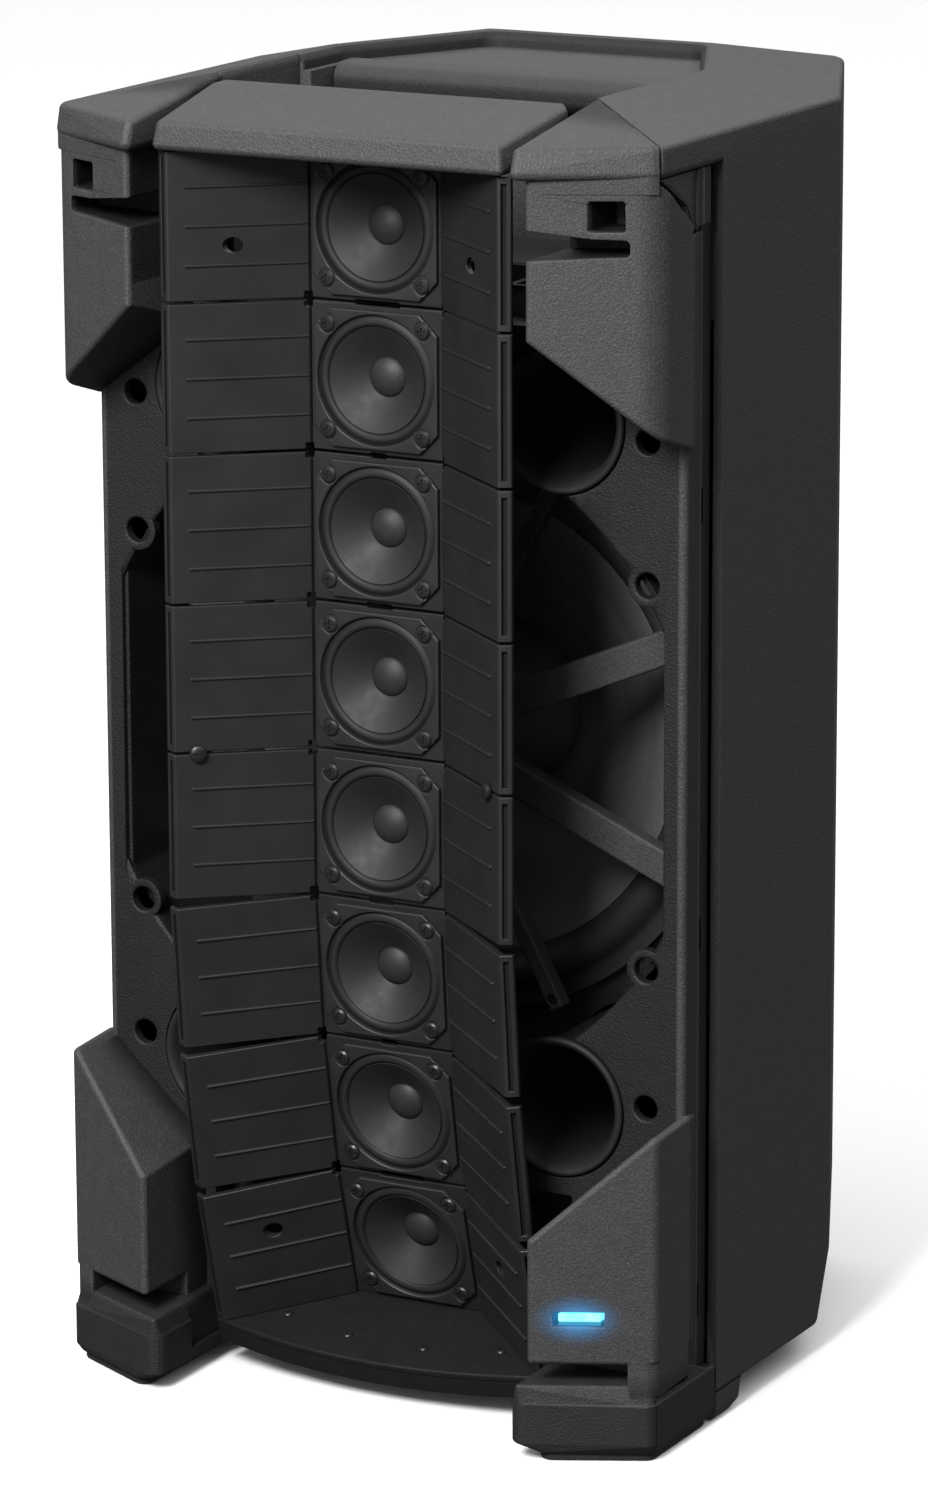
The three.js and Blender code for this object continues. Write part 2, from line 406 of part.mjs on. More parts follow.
put(cabinet, "preset_button", rodY(3.2, 288, 299.5, 40, 380, 14), { color: 0x2a2a2a, roughness: 0.5, metalness: 0 });

export default root;
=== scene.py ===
# Looks of the flexible-array loudspeaker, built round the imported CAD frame.
# Lengths in the helpers are millimetres in the drawing frame (baffle plane at y = 0);
# P() turns them into metres in the row frame.
import math
import bpy
import bmesh
import numpy as np
from mathutils import Matrix, Vector


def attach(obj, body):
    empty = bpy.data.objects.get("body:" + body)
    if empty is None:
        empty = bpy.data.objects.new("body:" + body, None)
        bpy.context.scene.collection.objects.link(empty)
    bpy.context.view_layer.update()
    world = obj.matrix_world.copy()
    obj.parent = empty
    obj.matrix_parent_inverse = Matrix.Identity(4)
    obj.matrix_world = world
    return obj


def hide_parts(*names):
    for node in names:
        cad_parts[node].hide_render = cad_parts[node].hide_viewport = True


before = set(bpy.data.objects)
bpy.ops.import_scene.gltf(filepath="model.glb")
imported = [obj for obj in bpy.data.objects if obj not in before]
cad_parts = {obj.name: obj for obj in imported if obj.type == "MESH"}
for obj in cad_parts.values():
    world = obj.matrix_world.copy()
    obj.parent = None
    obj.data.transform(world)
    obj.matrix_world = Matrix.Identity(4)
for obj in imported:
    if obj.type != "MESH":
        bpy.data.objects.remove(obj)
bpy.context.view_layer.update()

SHIFT = -115.5
HALF_W, TAPER_Y, REAR_Y, TOP_Z = 167.8, 165.0, 302.0, 665.5
WZ = 335.0
PITCH, MID_Z, HINGE_Y = 75.5, 335.0, -8.0
SCN = bpy.context.scene


def P(v):
    return (v[0] / 1000, (v[1] + SHIFT) / 1000, v[2] / 1000)


# ------------------------------------------------------------------ mesh helpers
def obj_of(me, name):
    o = bpy.data.objects.new(name, me)
    SCN.collection.objects.link(o)
    return o


def finish_mesh(bm, name):
    bmesh.ops.recalc_face_normals(bm, faces=bm.faces)
    if bm.calc_volume(signed=True) < 0:
        bmesh.ops.reverse_faces(bm, faces=bm.faces)
    me = bpy.data.meshes.new(name)
    bm.to_mesh(me)
    bm.free()
    return obj_of(me, name)


def from_data(verts, faces, name="solid"):
    bm = bmesh.new()
    vs = [bm.verts.new(P(v)) for v in verts]
    for f in faces:
        try:
            bm.faces.new([vs[i] for i in f])
        except ValueError:
            pass
    return finish_mesh(bm, name)


def loft(rings, name="solid"):
    n = len(rings[0])
    verts = [v for r in rings for v in r]
    faces = [list(range(n - 1, -1, -1)), [(len(rings) - 1) * n + i for i in range(n)]]
    for k in range(len(rings) - 1):
        for i in range(n):
            j = (i + 1) % n
            faces.append([k * n + i, k * n + j, (k + 1) * n + j, (k + 1) * n + i])
    return from_data(verts, faces, name)


def prism(axis, pts, lo, hi, name="solid"):
    if axis == "z":
        put = lambda a, b, t: (a, b, t)
    elif axis == "x":
        put = lambda a, b, t: (t, a, b)
    else:
        put = lambda a, b, t: (a, t, b)
    return loft([[put(a, b, lo) for a, b in pts], [put(a, b, hi) for a, b in pts]], name)


def box(x0, x1, y0, y1, z0, z1, name="solid"):
    return prism("z", [(x0, y0), (x1, y0), (x1, y1), (x0, y1)], z0, z1, name)


def hull(pts, name="solid"):
    bm = bmesh.new()
    for p in pts:
        bm.verts.new(P(p))
    r = bmesh.ops.convex_hull(bm, input=bm.verts)
    junk = [e for e in r["geom_interior"] + r["geom_unused"] if isinstance(e, bmesh.types.BMVert) and e.is_valid]
    bmesh.ops.delete(bm, geom=list(set(junk)), context="VERTS")
    bmesh.ops.dissolve_limit(bm, angle_limit=math.radians(1.5), verts=bm.verts, edges=bm.edges)
    return finish_mesh(bm, name)


def rounded(o, r, seg=4, merge=2.0):
    """The same convex solid with every edge and corner rounded to radius r (mm): spheres rolled round inside it."""
    bm = bmesh.new()
    bm.from_mesh(o.data)
    bmesh.ops.remove_doubles(bm, verts=bm.verts, dist=1e-5)
    bmesh.ops.dissolve_limit(bm, angle_limit=math.radians(merge), verts=bm.verts, edges=bm.edges)
    bm.normal_update()
    N_ = np.array([f.normal[:] for f in bm.faces])
    D_ = np.array([max(f.normal.dot(v.co) for v in f.verts) for f in bm.faces])
    for k, f in enumerate(bm.faces):
        f.index = k
    q = r / 1000
    pts = []
    for v in bm.verts:
        ids = [f.index for f in v.link_faces]
        A = N_[ids]
        x = np.array(v.co[:]) + np.linalg.lstsq(A, -q * np.ones(len(ids)), rcond=1e-3)[0]
        for _ in range(400):
            over = N_ @ x - (D_ - q)
            k = int(np.argmax(over))
            if over[k] < 1e-8:
                break
            x = x - over[k] * N_[k]
        dirs = [N_[i] for i in ids]
        m = sum(dirs)
        m = m / np.linalg.norm(m)
        ring = []
        for e in v.link_edges:
            if len(e.link_faces) != 2:
                continue
            na, nb = N_[e.link_faces[0].index], N_[e.link_faces[1].index]
            for t in range(1, seg):
                d = na * (1 - t / seg) + nb * (t / seg)
                ring.append(d / np.linalg.norm(d))
        inner = []
        for d in dirs + ring:
            for t in (0.35, 0.7):
                w = d * (1 - t) + m * t
                inner.append(w / np.linalg.norm(w))
        for d in dirs + ring + inner + [m]:
            pts.append(x + d * q)
    bm.free()
    out = bmesh.new()
    seen = set()
    for p_ in pts:
        key = tuple(np.round(p_, 6))
        if key not in seen:
            seen.add(key)
            out.verts.new(p_)
    res = bmesh.ops.convex_hull(out, input=out.verts)
    junk = [e for e in res["geom_interior"] + res["geom_unused"] if isinstance(e, bmesh.types.BMVert) and e.is_valid]
    bmesh.ops.delete(out, geom=list(set(junk)), context="VERTS")
    bmesh.ops.remove_doubles(out, verts=out.verts, dist=8e-6)
    bmesh.ops.dissolve_limit(out, angle_limit=math.radians(0.8), verts=out.verts, edges=out.edges)
    name = o.name
    bpy.data.objects.remove(o)
    return finish_mesh(out, name)


def lathe(profile, centre, axis="y", seg=96, name="solid"):
    """profile of (radius, along), turned about a line along axis through centre (the other two coordinates)."""
    verts, idx = [], []
    for r, t in profile:
        if abs(r) < 1e-6:
            idx.append([len(verts)] * seg)
            verts.append((0, 0, t))
        else:
            idx.append(list(range(len(verts), len(verts) + seg)))
            for k in range(seg):
                a = 2 * math.pi * k / seg
                verts.append((r * math.cos(a), r * math.sin(a), t))
    closed = abs(profile[0][0]) > 1e-6
    faces = []
    m = len(profile)
    for k in range(m if closed else m - 1):
        a, b = idx[k], idx[(k + 1) % m]
        for i in range(seg):
            j = (i + 1) % seg
            f = [a[i], a[j], b[j], b[i]]
            f = [v for n_, v in enumerate(f) if v not in f[:n_]]
            if len(f) > 2:
                faces.append(f)
    if axis == "y":
        verts = [(centre[0] + x, t, centre[1] + y) for x, y, t in verts]
    elif axis == "z":
        verts = [(centre[0] + x, centre[1] + y, t) for x, y, t in verts]
    else:
        verts = [(t, centre[0] + x, centre[1] + y) for x, y, t in verts]
    return from_data(verts, faces, name)


def rod(axis, r, lo, hi, centre, seg=48, name="solid"):
    return lathe([(0, lo), (r, lo), (r, hi), (0, hi)], centre, axis, seg, name)


def fillet(pts, radii, seg=6):
    """A closed outline with its corners rounded to the given radii (a number, or one per corner)."""
    out = []
    n = len(pts)
    if not isinstance(radii, (list, tuple)):
        radii = [radii] * n
    for i in range(n):
        p0, p1, p2 = Vector(pts[i - 1]), Vector(pts[i]), Vector(pts[(i + 1) % n])
        r = radii[i]
        a, b = (p0 - p1), (p2 - p1)
        la, lb = a.length, b.length
        a.normalize(); b.normalize()
        ang = math.acos(max(-1, min(1, a.dot(b))))
        if r <= 0 or ang > math.radians(176):
            out.append(tuple(p1))
            continue
        d = min(r / math.tan(ang / 2), la * 0.49, lb * 0.49)
        r = d * math.tan(ang / 2)
        s, e = p1 + a * d, p1 + b * d
        bis = (a + b).normalized()
        c = p1 + bis * (r / math.sin(ang / 2))
        a0 = math.atan2(s.y - c.y, s.x - c.x)
        a1 = math.atan2(e.y - c.y, e.x - c.x)
        da = (a1 - a0 + math.pi) % (2 * math.pi) - math.pi
        for k in range(seg + 1):
            t = a0 + da * k / seg
            out.append((c.x + r * math.cos(t), c.y + r * math.sin(t)))
    return out


def bevel(o, width, seg=3, angle=25, where=None):
    bm = bmesh.new()
    bm.from_mesh(o.data)
    lim = math.radians(angle)
    edges = [e for e in bm.edges if len(e.link_faces) == 2 and e.calc_face_angle(0) > lim]
    if where:
        keep = []
        for e in edges:
            m = (e.verts[0].co + e.verts[1].co) / 2
            d = (e.verts[0].co - e.verts[1].co)
            if where(m.x * 1000, m.y * 1000 - SHIFT, m.z * 1000, d * 1000):
                keep.append(e)
        edges = keep
    bmesh.ops.bevel(bm, geom=edges, offset=width / 1000, segments=seg, profile=0.5, affect="EDGES", clamp_overlap=True)
    bm.to_mesh(o.data)
    bm.free()
    return o


def boolean(a, b, op):
    many = b if isinstance(b, list) else [b]
    for o in many:
        m = a.modifiers.new("b", "BOOLEAN")
        m.operation = op
        m.solver = "MANIFOLD"
        m.object = o
    dg = bpy.context.evaluated_depsgraph_get()
    me = bpy.data.meshes.new_from_object(a.evaluated_get(dg))
    if len(me.polygons) == 0:
        raise RuntimeError("boolean gave nothing: " + a.name)
    a.modifiers.clear()
    a.data = me
    for o in many:
        bpy.data.objects.remove(o)
    return a


add = lambda a, *b: boolean(a, list(b), "UNION")
cut = lambda a, *b: boolean(a, list(b), "DIFFERENCE")
meet = lambda a, b: boolean(a, b, "INTERSECT")


def join(objs, name):
    bm = bmesh.new()
    for o in objs:
        bm.from_mesh(o.data)
        bpy.data.objects.remove(o)
    me = bpy.data.meshes.new(name)
    bm.to_mesh(me)
    bm.free()
    return obj_of(me, name)


def tidy(o, angle=1.0):
    """Merges doubled points and flat faces; keeps the mesh closed."""
    for dist, merge in ((4e-6, True), (1e-6, True), (0, True), (0, False)):
        bm = bmesh.new()
        bm.from_mesh(o.data)
        if dist:
            bmesh.ops.remove_doubles(bm, verts=bm.verts, dist=dist)
            bmesh.ops.dissolve_degenerate(bm, dist=dist / 2, edges=bm.edges)
        if merge:
            bmesh.ops.dissolve_limit(bm, angle_limit=math.radians(angle), verts=bm.verts, edges=bm.edges)
        big = [f for f in bm.faces if len(f.verts) > 4]
        bmesh.ops.triangulate(bm, faces=big, quad_method="BEAUTY", ngon_method="BEAUTY")
        if all(len(e.link_faces) == 2 for e in bm.edges):
            bm.to_mesh(o.data)
            bm.free()
            return o
        bm.free()
    return o


def soften(o, width=0.8, seg=2, angle=38, tries=7):
    """Rounds the convex edges by real geometry. Where a corner is too tight for the bevel, its new
    points would fly off the surface: those edges are found and left sharp."""
    from mathutils.bvhtree import BVHTree
    from mathutils.kdtree import KDTree
    src = bmesh.new()
    src.from_mesh(o.data)
    src.verts.ensure_lookup_table()
    tree = BVHTree.FromBMesh(src)
    lim, w = math.radians(angle), width / 1000
    kd = KDTree(len(src.verts))
    for v in src.verts:
        kd.insert(v.co, v.index)
    kd.balance()
    banned = set()
    for t in range(tries):
        bm = src.copy()
        bm.verts.ensure_lookup_table()
        edges = []
        for e in bm.edges:
            if len(e.link_faces) != 2 or e.calc_length() < w * 0.6:
                continue
            if e.calc_face_angle_signed(0) < lim:
                continue
            if e.verts[0].index in banned or e.verts[1].index in banned:
                continue
            edges.append(e)
        if not edges:
            bm.free()
            break
        bmesh.ops.bevel(bm, geom=edges, offset=w, segments=seg, profile=0.5, affect="EDGES", clamp_overlap=False, loop_slide=False)
        bad = [v for v in bm.verts if tree.find_nearest(v.co)[3] > w * 0.75]
        if t == tries - 1 and bad:
            bm.free()
            break
        if not bad:
            bm.to_mesh(o.data)
            bm.free()
            break
        for v in bad:
            near = [q.other_vert(v).co for q in v.link_edges] + [v.co]
            for co in near:
                if tree.find_nearest(co)[3] <= w * 0.75 or co is v.co:
                    for c, i, d in kd.find_range(co, w * 2.2) or [kd.find(co)]:
                        banned.add(i)
        bm.free()
    src.free()
    return o


def shade(o, angle=35, weighted=True):
    for p in o.data.polygons:
        p.use_smooth = True
    o.data.set_sharp_from_angle(angle=math.radians(angle))
    if weighted:
        m = o.modifiers.new("wn", "WEIGHTED_NORMAL")
        m.keep_sharp = True
        m.weight = 80
    return o


def use(o, material, body, name=None, replaces=(), angle=35, weighted=True):
    if name:
        o.name = name
        o.data.name = name
    o.data.materials.clear()
    for m in material if isinstance(material, (list, tuple)) else [material]:
        o.data.materials.append(m)
    shade(o, angle, weighted)
    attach(o, body)
    if replaces:
        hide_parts(*replaces)
    return o


def place(o, M):
    """Moves a piece drawn in module coordinates (mm, as in P) to its module's place."""
    o.data.transform(M)
    return o


def module_matrix(i):
    """World matrix, in metres, for a module drawn with its driver's centre at drawing z = 0."""
    if i <= 5:
        return Matrix.Translation((0, 0, (MID_Z + PITCH * (4.5 - i)) / 1000))
    y, z = HINGE_Y, MID_Z - PITCH
    for k in range(6, i):
        a = math.radians(5 * (k - 5))
        y += PITCH * math.sin(a)
        z -= PITCH * math.cos(a)
    a = math.radians(5 * (i - 5))
    return (Matrix.Translation(Vector(P((0, y, z)))) @ Matrix.Rotation(a, 4, "X")
            @ Matrix.Translation(-Vector(P((0, HINGE_Y, PITCH / 2)))))


BODY = {1: "module_1", 2: "module_2", 3: "module_3", 4: "cabinet", 5: "cabinet", 6: "module_6", 7: "module_7", 8: "module_8"}


# ------------------------------------------------------------------ materials
class Mat:
    def __init__(self, name, color, rough, metal=0.0, spec=0.5):
        self.m = bpy.data.materials.new(name)
        self.m.use_nodes = True
        self.t = self.m.node_tree
        self.b = self.t.nodes["Principled BSDF"]
        self.b.inputs["Base Color"].default_value = (*color, 1)
        self.b.inputs["Roughness"].default_value = rough
        self.b.inputs["Metallic"].default_value = metal
        self.b.inputs["Specular IOR Level"].default_value = spec
        self.color, self.rough = color, rough
        self.tc = self.t.nodes.new("ShaderNodeTexCoord")
        self.height = None

    def node(self, kind, **kw):
        n = self.t.nodes.new(kind)
        for k, v in kw.items():
            if k in n.inputs:
                n.inputs[k].default_value = v
            else:
                setattr(n, k, v)
        return n

    def link(self, a, b):
        self.t.links.new(a, b)

    def noise(self, scale, detail=3.0, rough=0.55, stretch=None):
        n = self.node("ShaderNodeTexNoise", Scale=scale, Detail=detail, Roughness=rough)
        src = self.tc.outputs["Object"]
        if stretch:
            mp = self.node("ShaderNodeMapping")
            mp.inputs["Scale"].default_value = stretch
            self.link(src, mp.inputs["Vector"])
            src = mp.outputs["Vector"]
        self.link(src, n.inputs["Vector"])
        return n.outputs["Fac"]

    def voronoi(self, scale, feature="F1", random=1.0):
        n = self.node("ShaderNodeTexVoronoi", Scale=scale, Randomness=random)
        n.feature = feature
        self.link(self.tc.outputs["Object"], n.inputs["Vector"])
        return n.outputs["Distance"]

    def ramp(self, src, lo, hi, a=0.0, b=1.0):
        n = self.node("ShaderNodeMapRange")
        n.inputs["From Min"].default_value = lo
        n.inputs["From Max"].default_value = hi
        n.inputs["To Min"].default_value = a
        n.inputs["To Max"].default_value = b
        self.link(src, n.inputs["Value"])
        return n.outputs["Result"]

    def math(self, op, a, b):
        n = self.node("ShaderNodeMath", operation=op)
        for i, s in enumerate((a, b)):
            if isinstance(s, (int, float)):
                n.inputs[i].default_value = s
            else:
                self.link(s, n.inputs[i])
        return n.outputs[0]

    def mix(self, fac, a, b):
        n = self.node("ShaderNodeMix")
        n.data_type = "RGBA"
        for s, v in (("A", a), ("B", b)):
            i = [q for q in n.inputs if q.name == s and q.type == "RGBA"][0]
            if isinstance(v, tuple):
                i.default_value = (*v, 1)
            else:
                self.link(v, i)
        f = [q for q in n.inputs if q.name == "Factor" and q.type == "VALUE"][0]
        self.link(fac, f)
        return [q for q in n.outputs if q.type == "RGBA"][0]

    def bump(self, layers):
        """layers of (height socket, strength, distance in metres)"""
        prev = None
        for h, s, d in layers:
            n = self.node("ShaderNodeBump", Strength=s, Distance=d)
            self.link(h, n.inputs["Height"])
            if prev:
                self.link(prev, n.inputs["Normal"])
            prev = n.outputs["Normal"]
        self.link(prev, self.b.inputs["Normal"])
        return prev

    def wear(self, radius=0.0012):
        """0 on flat surfaces, up to 1 on rounded or sharp outer edges"""
        bv = self.node("ShaderNodeBevel", Radius=radius)
        bv.samples = 4
        g = self.node("ShaderNodeNewGeometry")
        d = self.node("ShaderNodeVectorMath", operation="DOT_PRODUCT")
        self.link(bv.outputs["Normal"], d.inputs[0])
        self.link(g.outputs["Normal"], d.inputs[1])
        return self.ramp(d.outputs["Value"], 0.995, 0.86, 0.0, 1.0)


def tone(c, k):
    return tuple(min(1, v * k) for v in c)


def pebble(name, color, rough, grain=1.0, depth=1.0, spec=0.45):
    """Moulded plastic with a spark-eroded pebble grain."""
    M = Mat(name, color, rough, spec=spec)
    a = M.noise(1150 * grain, 2.0, 0.6)
    b = M.voronoi(980 * grain, "SMOOTH_F1")
    c = M.noise(95, 3.0, 0.6)
    grit = M.math("ADD", M.math("MULTIPLY", a, 0.65), M.math("MULTIPLY", b, 0.55))
    col = M.mix(M.ramp(grit, 0.45, 0.85), tone(color, 0.66), tone(color, 1.5))
    col = M.mix(M.ramp(c, 0.3, 0.75, 0, 0.35), col, tone(color, 1.2))
    col = M.mix(M.math("MULTIPLY", M.wear(), 0.35), col, tone(color, 2.1))
    M.link(col, M.b.inputs["Base Color"])
    M.link(M.ramp(c, 0.25, 0.75, rough - 0.05, rough + 0.07), M.b.inputs["Roughness"])
    M.bump([(grit, 0.9 * depth, 0.00042), (c, 0.12, 0.001)])
    return M.m


def satin(name, color, rough, spec=0.45, mottled=0.08):
    """Smooth moulded plastic with a faint matt texture and flow variation."""
    M = Mat(name, color, rough, spec=spec)
    a = M.noise(2400, 2.0, 0.5)
    c = M.noise(38, 4.0, 0.55)
    col = M.mix(M.ramp(c, 0.3, 0.7), tone(color, 1 - mottled), tone(color, 1 + mottled))
    col = M.mix(M.math("MULTIPLY", M.wear(0.0008), 0.45), col, tone(color, 2.4))
    M.link(col, M.b.inputs["Base Color"])
    M.link(M.ramp(c, 0.3, 0.7, rough - 0.04, rough + 0.05), M.b.inputs["Roughness"])
    M.bump([(a, 0.16, 0.0001), (c, 0.05, 0.0008)])
    return M.m


def paper(name, color, rough, fibre=1.0):
    """Pressed paper pulp with a soft sheen."""
    M = Mat(name, color, rough, spec=0.35)
    a = M.noise(900 * fibre, 5.0, 0.7)
    b = M.noise(160, 3.0, 0.5)
    col = M.mix(M.ramp(a, 0.35, 0.7), tone(color, 0.86), tone(color, 1.16))
    M.link(col, M.b.inputs["Base Color"])
    M.link(M.ramp(b, 0.3, 0.7, rough - 0.05, rough + 0.06), M.b.inputs["Roughness"])
    M.bump([(a, 0.2, 0.00015), (b, 0.08, 0.0005)])
    return M.m


def painted(name, color, rough, metal=0.0, grain=1500):
    M = Mat(name, color, rough, metal=metal)
    a = M.noise(grain, 3.0, 0.6)
    c = M.noise(60, 3.0, 0.5)
    col = M.mix(M.ramp(c, 0.3, 0.7), tone(color, 0.88), tone(color, 1.12))
    col = M.mix(M.math("MULTIPLY", M.wear(0.0006), 0.5), col, tone(color, 2.6))
    M.link(col, M.b.inputs["Base Color"])
    M.link(M.ramp(a, 0.3, 0.7, rough - 0.06, rough + 0.08), M.b.inputs["Roughness"])
    M.bump([(a, 0.2, 0.00015)])
    return M.m


CAB = pebble("cabinet_pebble", (0.035, 0.035, 0.036), 0.62)
CABSIDE = pebble("cabinet_pebble_side", (0.030, 0.030, 0.031), 0.66, grain=1.1, depth=0.8)
BAF = pebble("baffle_pebble", (0.030, 0.030, 0.031), 0.64, grain=0.9, depth=0.9)
ARR = satin("array_satin", (0.0102, 0.0102, 0.0107), 0.5, spec=0.38)
FRM = satin("driver_frame_satin", (0.0112, 0.0112, 0.0117), 0.5)
CONE = paper("driver_cone_paper", (0.0140, 0.0140, 0.0149), 0.6)
DUST = paper("dust_cap", (0.0175, 0.0175, 0.0187), 0.55, 0.6)
ROLL = satin("surround_rubber", (0.0085, 0.0085, 0.009), 0.58, spec=0.28)
PORT = satin("port_plastic", (0.0105, 0.0105, 0.011), 0.62, spec=0.3)
DARK = satin("inner_dark", (0.012, 0.012, 0.012), 0.7, spec=0.25)
WCONE = paper("woofer_cone_paper", (0.062, 0.062, 0.064), 0.64, 0.5)
WROLL = satin("woofer_surround_foam", (0.016, 0.016, 0.0165), 0.6, spec=0.3)
ARM = pebble("bracket_pebble", (0.031, 0.031, 0.032), 0.68, grain=1.0)
BARM = pebble("bar_grain", (0.026, 0.026, 0.0265), 0.6, grain=1.3, depth=0.6)
FLOORP = pebble("array_floor_grain", (0.0042, 0.0042, 0.0044), 0.66, grain=1.2, depth=0.7, spec=0.3)
# painted shade: a darker copy of the cabinet pebble for the front faces seen in the side groove
EDGE = pebble("cabinet_groove", (0.0175, 0.0175, 0.018), 0.7, grain=1.2, depth=0.5, spec=0.3)
# painted highlight: a light copy of the cabinet pebble for the bevels of the front side edges
EDGE_HIGHLIGHT = pebble("cabinet_worn_edge", (0.085, 0.085, 0.086), 0.55, grain=1.2, depth=0.5)
# painted shade: a darker copy of the cabinet pebble for the walls of the recess behind the bar
WALL = pebble("recess_wall", (0.012, 0.012, 0.0123), 0.66, grain=1.2, depth=0.6, spec=0.3)
RUB = painted("foot_rubber", (0.012, 0.012, 0.012), 0.8, grain=700)
SCREW = painted("screw_black_zinc", (0.035, 0.035, 0.037), 0.38, metal=0.75, grain=2500)
METAL = painted("panel_powder_coat", (0.018, 0.018, 0.019), 0.55, metal=0.0, grain=1100)
SOCK = painted("socket_black", (0.014, 0.014, 0.015), 0.42, grain=2000)
ZINC = painted("contact_metal", (0.42, 0.40, 0.34), 0.3, metal=1.0, grain=1800)
GREEN = painted("circuit_board", (0.02, 0.10, 0.04), 0.5, grain=900)
# painted shade: near-black colour for the insides of holes and the flange grooves; the socket cores use it as their own
# dark colour
HOLE = satin("hole_dark", (0.006, 0.006, 0.006), 0.8, spec=0.2)


def led_material():
    M = Mat("status_lens", (0.25, 0.85, 0.95), 0.3)
    n = M.noise(120, 2.0, 0.5)
    col = M.mix(M.ramp(n, 0.3, 0.7), (0.10, 0.72, 0.95), (0.22, 0.86, 1.0))
    M.link(col, M.b.inputs["Base Color"])
    M.link(col, M.b.inputs["Emission Color"])
    M.b.inputs["Emission Strength"].default_value = 1.5
    M.bump([(n, 0.05, 0.0003)])
    return M.m


LED = led_material()


# ------------------------------------------------------------------ shared outlines
def dup(o):
    return obj_of(o.data.copy(), o.name + "_copy")


def both(pts):
    return pts + [(-x, y) for x, y in reversed(pts)]


def at(pts, z):
    return [(x, y, z) for x, y in pts]


def side(s, pts):
    return [(s * p[0], *p[1:]) for p in pts]


CORNERS = [0, 10, 9, 5, 5, 5, 5, 9, 10, 0]
cap_low = fillet(both([(104, -71), (HALF_W, -34.3), (HALF_W, TAPER_Y), (108.1, 296), (102, REAR_Y)]), CORNERS, 4)
cap_edge = fillet(both([(104.1, -65), (HALF_W - 1, -32), (HALF_W, TAPER_Y), (108.1, 296), (102, REAR_Y)]), CORNERS, 4)
cap_top = both([(105.6, 21.3), (106.3, 138.7), (64.7, 230)])
cap_raw = hull(at(cap_low, 637) + at(cap_edge, 652.5) + at(cap_top, TOP_Z))
cap = rounded(dup(cap_raw), 3.6)


def rounded_ear(s):
    o = meet(dup(cap_raw), prism("z", side(s, [(104, -90), (190, -90), (190, 110), (104, 110)]), 630, 670))
    o = rounded(o, 3.4)
    return meet(o, prism("z", side(s, [(90, -90), (180, -90), (180, -43.8), (105.9, 21), (90, 35)]), 630, 670))


def ear_region(s):
    return prism("z", side(s, [(104, -80), (180, -80), (180, -43.8), (105.9, 21), (104, 21)]), 630, 670)


def square(x0, x1, z0, z1):
    return [(x0, z0), (x1, z0), (x1, z1), (x0, z1)]


def recess(levels):
    """Cutter of the recess behind the bar: its rim is rolled over, so the outline grows towards the top."""
    rings = []
    for grow, z in levels:
        g = grow
        rings.append(at(fillet([(-101.5 - g, 99), (101.5 + g, 99), (101.5 + g, 139 + g * 0.24), (60.5 + g * 0.63, 225.5 + g), (-60.5 - g * 0.63, 225.5 + g), (-101.5 - g, 139 + g * 0.24)], [0, 0, 9, 12, 12, 9]), z))
    return loft(rings)


def pocket(levels):
    rings = []
    for grow, z in levels:
        rings.append(at(fillet([(-104 - grow, 0), (104 + grow, 0), (104 + grow, 100), (98, 100), (98, 150), (-98, 150), (-98, 100), (-104 - grow, 100)], [0, 0, 1, 1, 9, 9, 1, 1]), z))
    return loft(rings)


# ------------------------------------------------------------------ rear cabinet and cap
rear_plan = lambda w, y1, a, b: fillet([(-w, 33.4), (w, 33.4), (w, y1), a, b, (-b[0], b[1]), (-a[0], a[1]), (-w, y1)], [0, 0, 9, 5, 5, 5, 5, 9], 5)
body = loft([
    at(rear_plan(HALF_W, 150, (98, 284), (92, 288)), 15),
    at(rear_plan(HALF_W, TAPER_Y, (108.1, 296), (102, REAR_Y)), 53),
    at(rear_plan(HALF_W, TAPER_Y, (108.1, 296), (102, REAR_Y)), 640),
])
bevel(body, 2.5, 3, 20, where=lambda x, y, z, d: z < 20 and y > 40)
rear_cap = meet(dup(cap), prism("z", [(-180, -42.2), (-106.2, 22.2), (-104, 22.2), (-104, 11.7), (104, 11.7), (104, 22.2), (106.2, 22.2), (180, -42.2), (180, 310), (-180, 310)], 630, 670))
inner_plan = both([(162.8, 20), (162.8, 163.5), (104.4, 291), (100, 297)])
rear = add(rear_cap, body)
cut(rear,
    prism("z", inner_plan, 58, 560),
    prism("z", both([(162, 20), (162, 150), (98, 280), (92, 283)]), 20, 59),
    prism("z", [(110, 40), (162.8, 40), (162.8, 160), (112, 272), (110, 272)], 550, 634),
    prism("z", [(-110, 40), (-162.8, 40), (-162.8, 160), (-112, 272), (-110, 272)], 550, 634),
    prism("z", [(-110.5, 156), (110.5, 156), (110.5, 270), (101, 290), (-101, 290), (-110.5, 270)], 550, 645),
    box(-162, 162, 10, 33.6, 58, 636.9),
    box(-60, 60, 10, 79.6, 540, 575),
    pocket([(0, 572), (0, 661), (0.5, 663.2), (1.3, 664.8), (2.2, 665.6), (2.2, 680)]),
    recess([(0.0, 657.0), (0.0, 660.6), (0.5, 661.9), (1.5, 663.3), (2.8, 664.5), (4.0, 665.2), (4.6, 665.9), (4.6, 680)]),
    prism("y", fillet(square(-86, 86, 90, 470), 7), 290, 310),
    rod("z", 21.5, 10, 30, (0, 110), 64))
tidy(rear, 0.5)
soften(rear, 0.7, 2, 40)
use(rear, [CAB, EDGE, EDGE_HIGHLIGHT, WALL], "cabinet", "rear_cabinet_shell", ["rear_cabinet"])
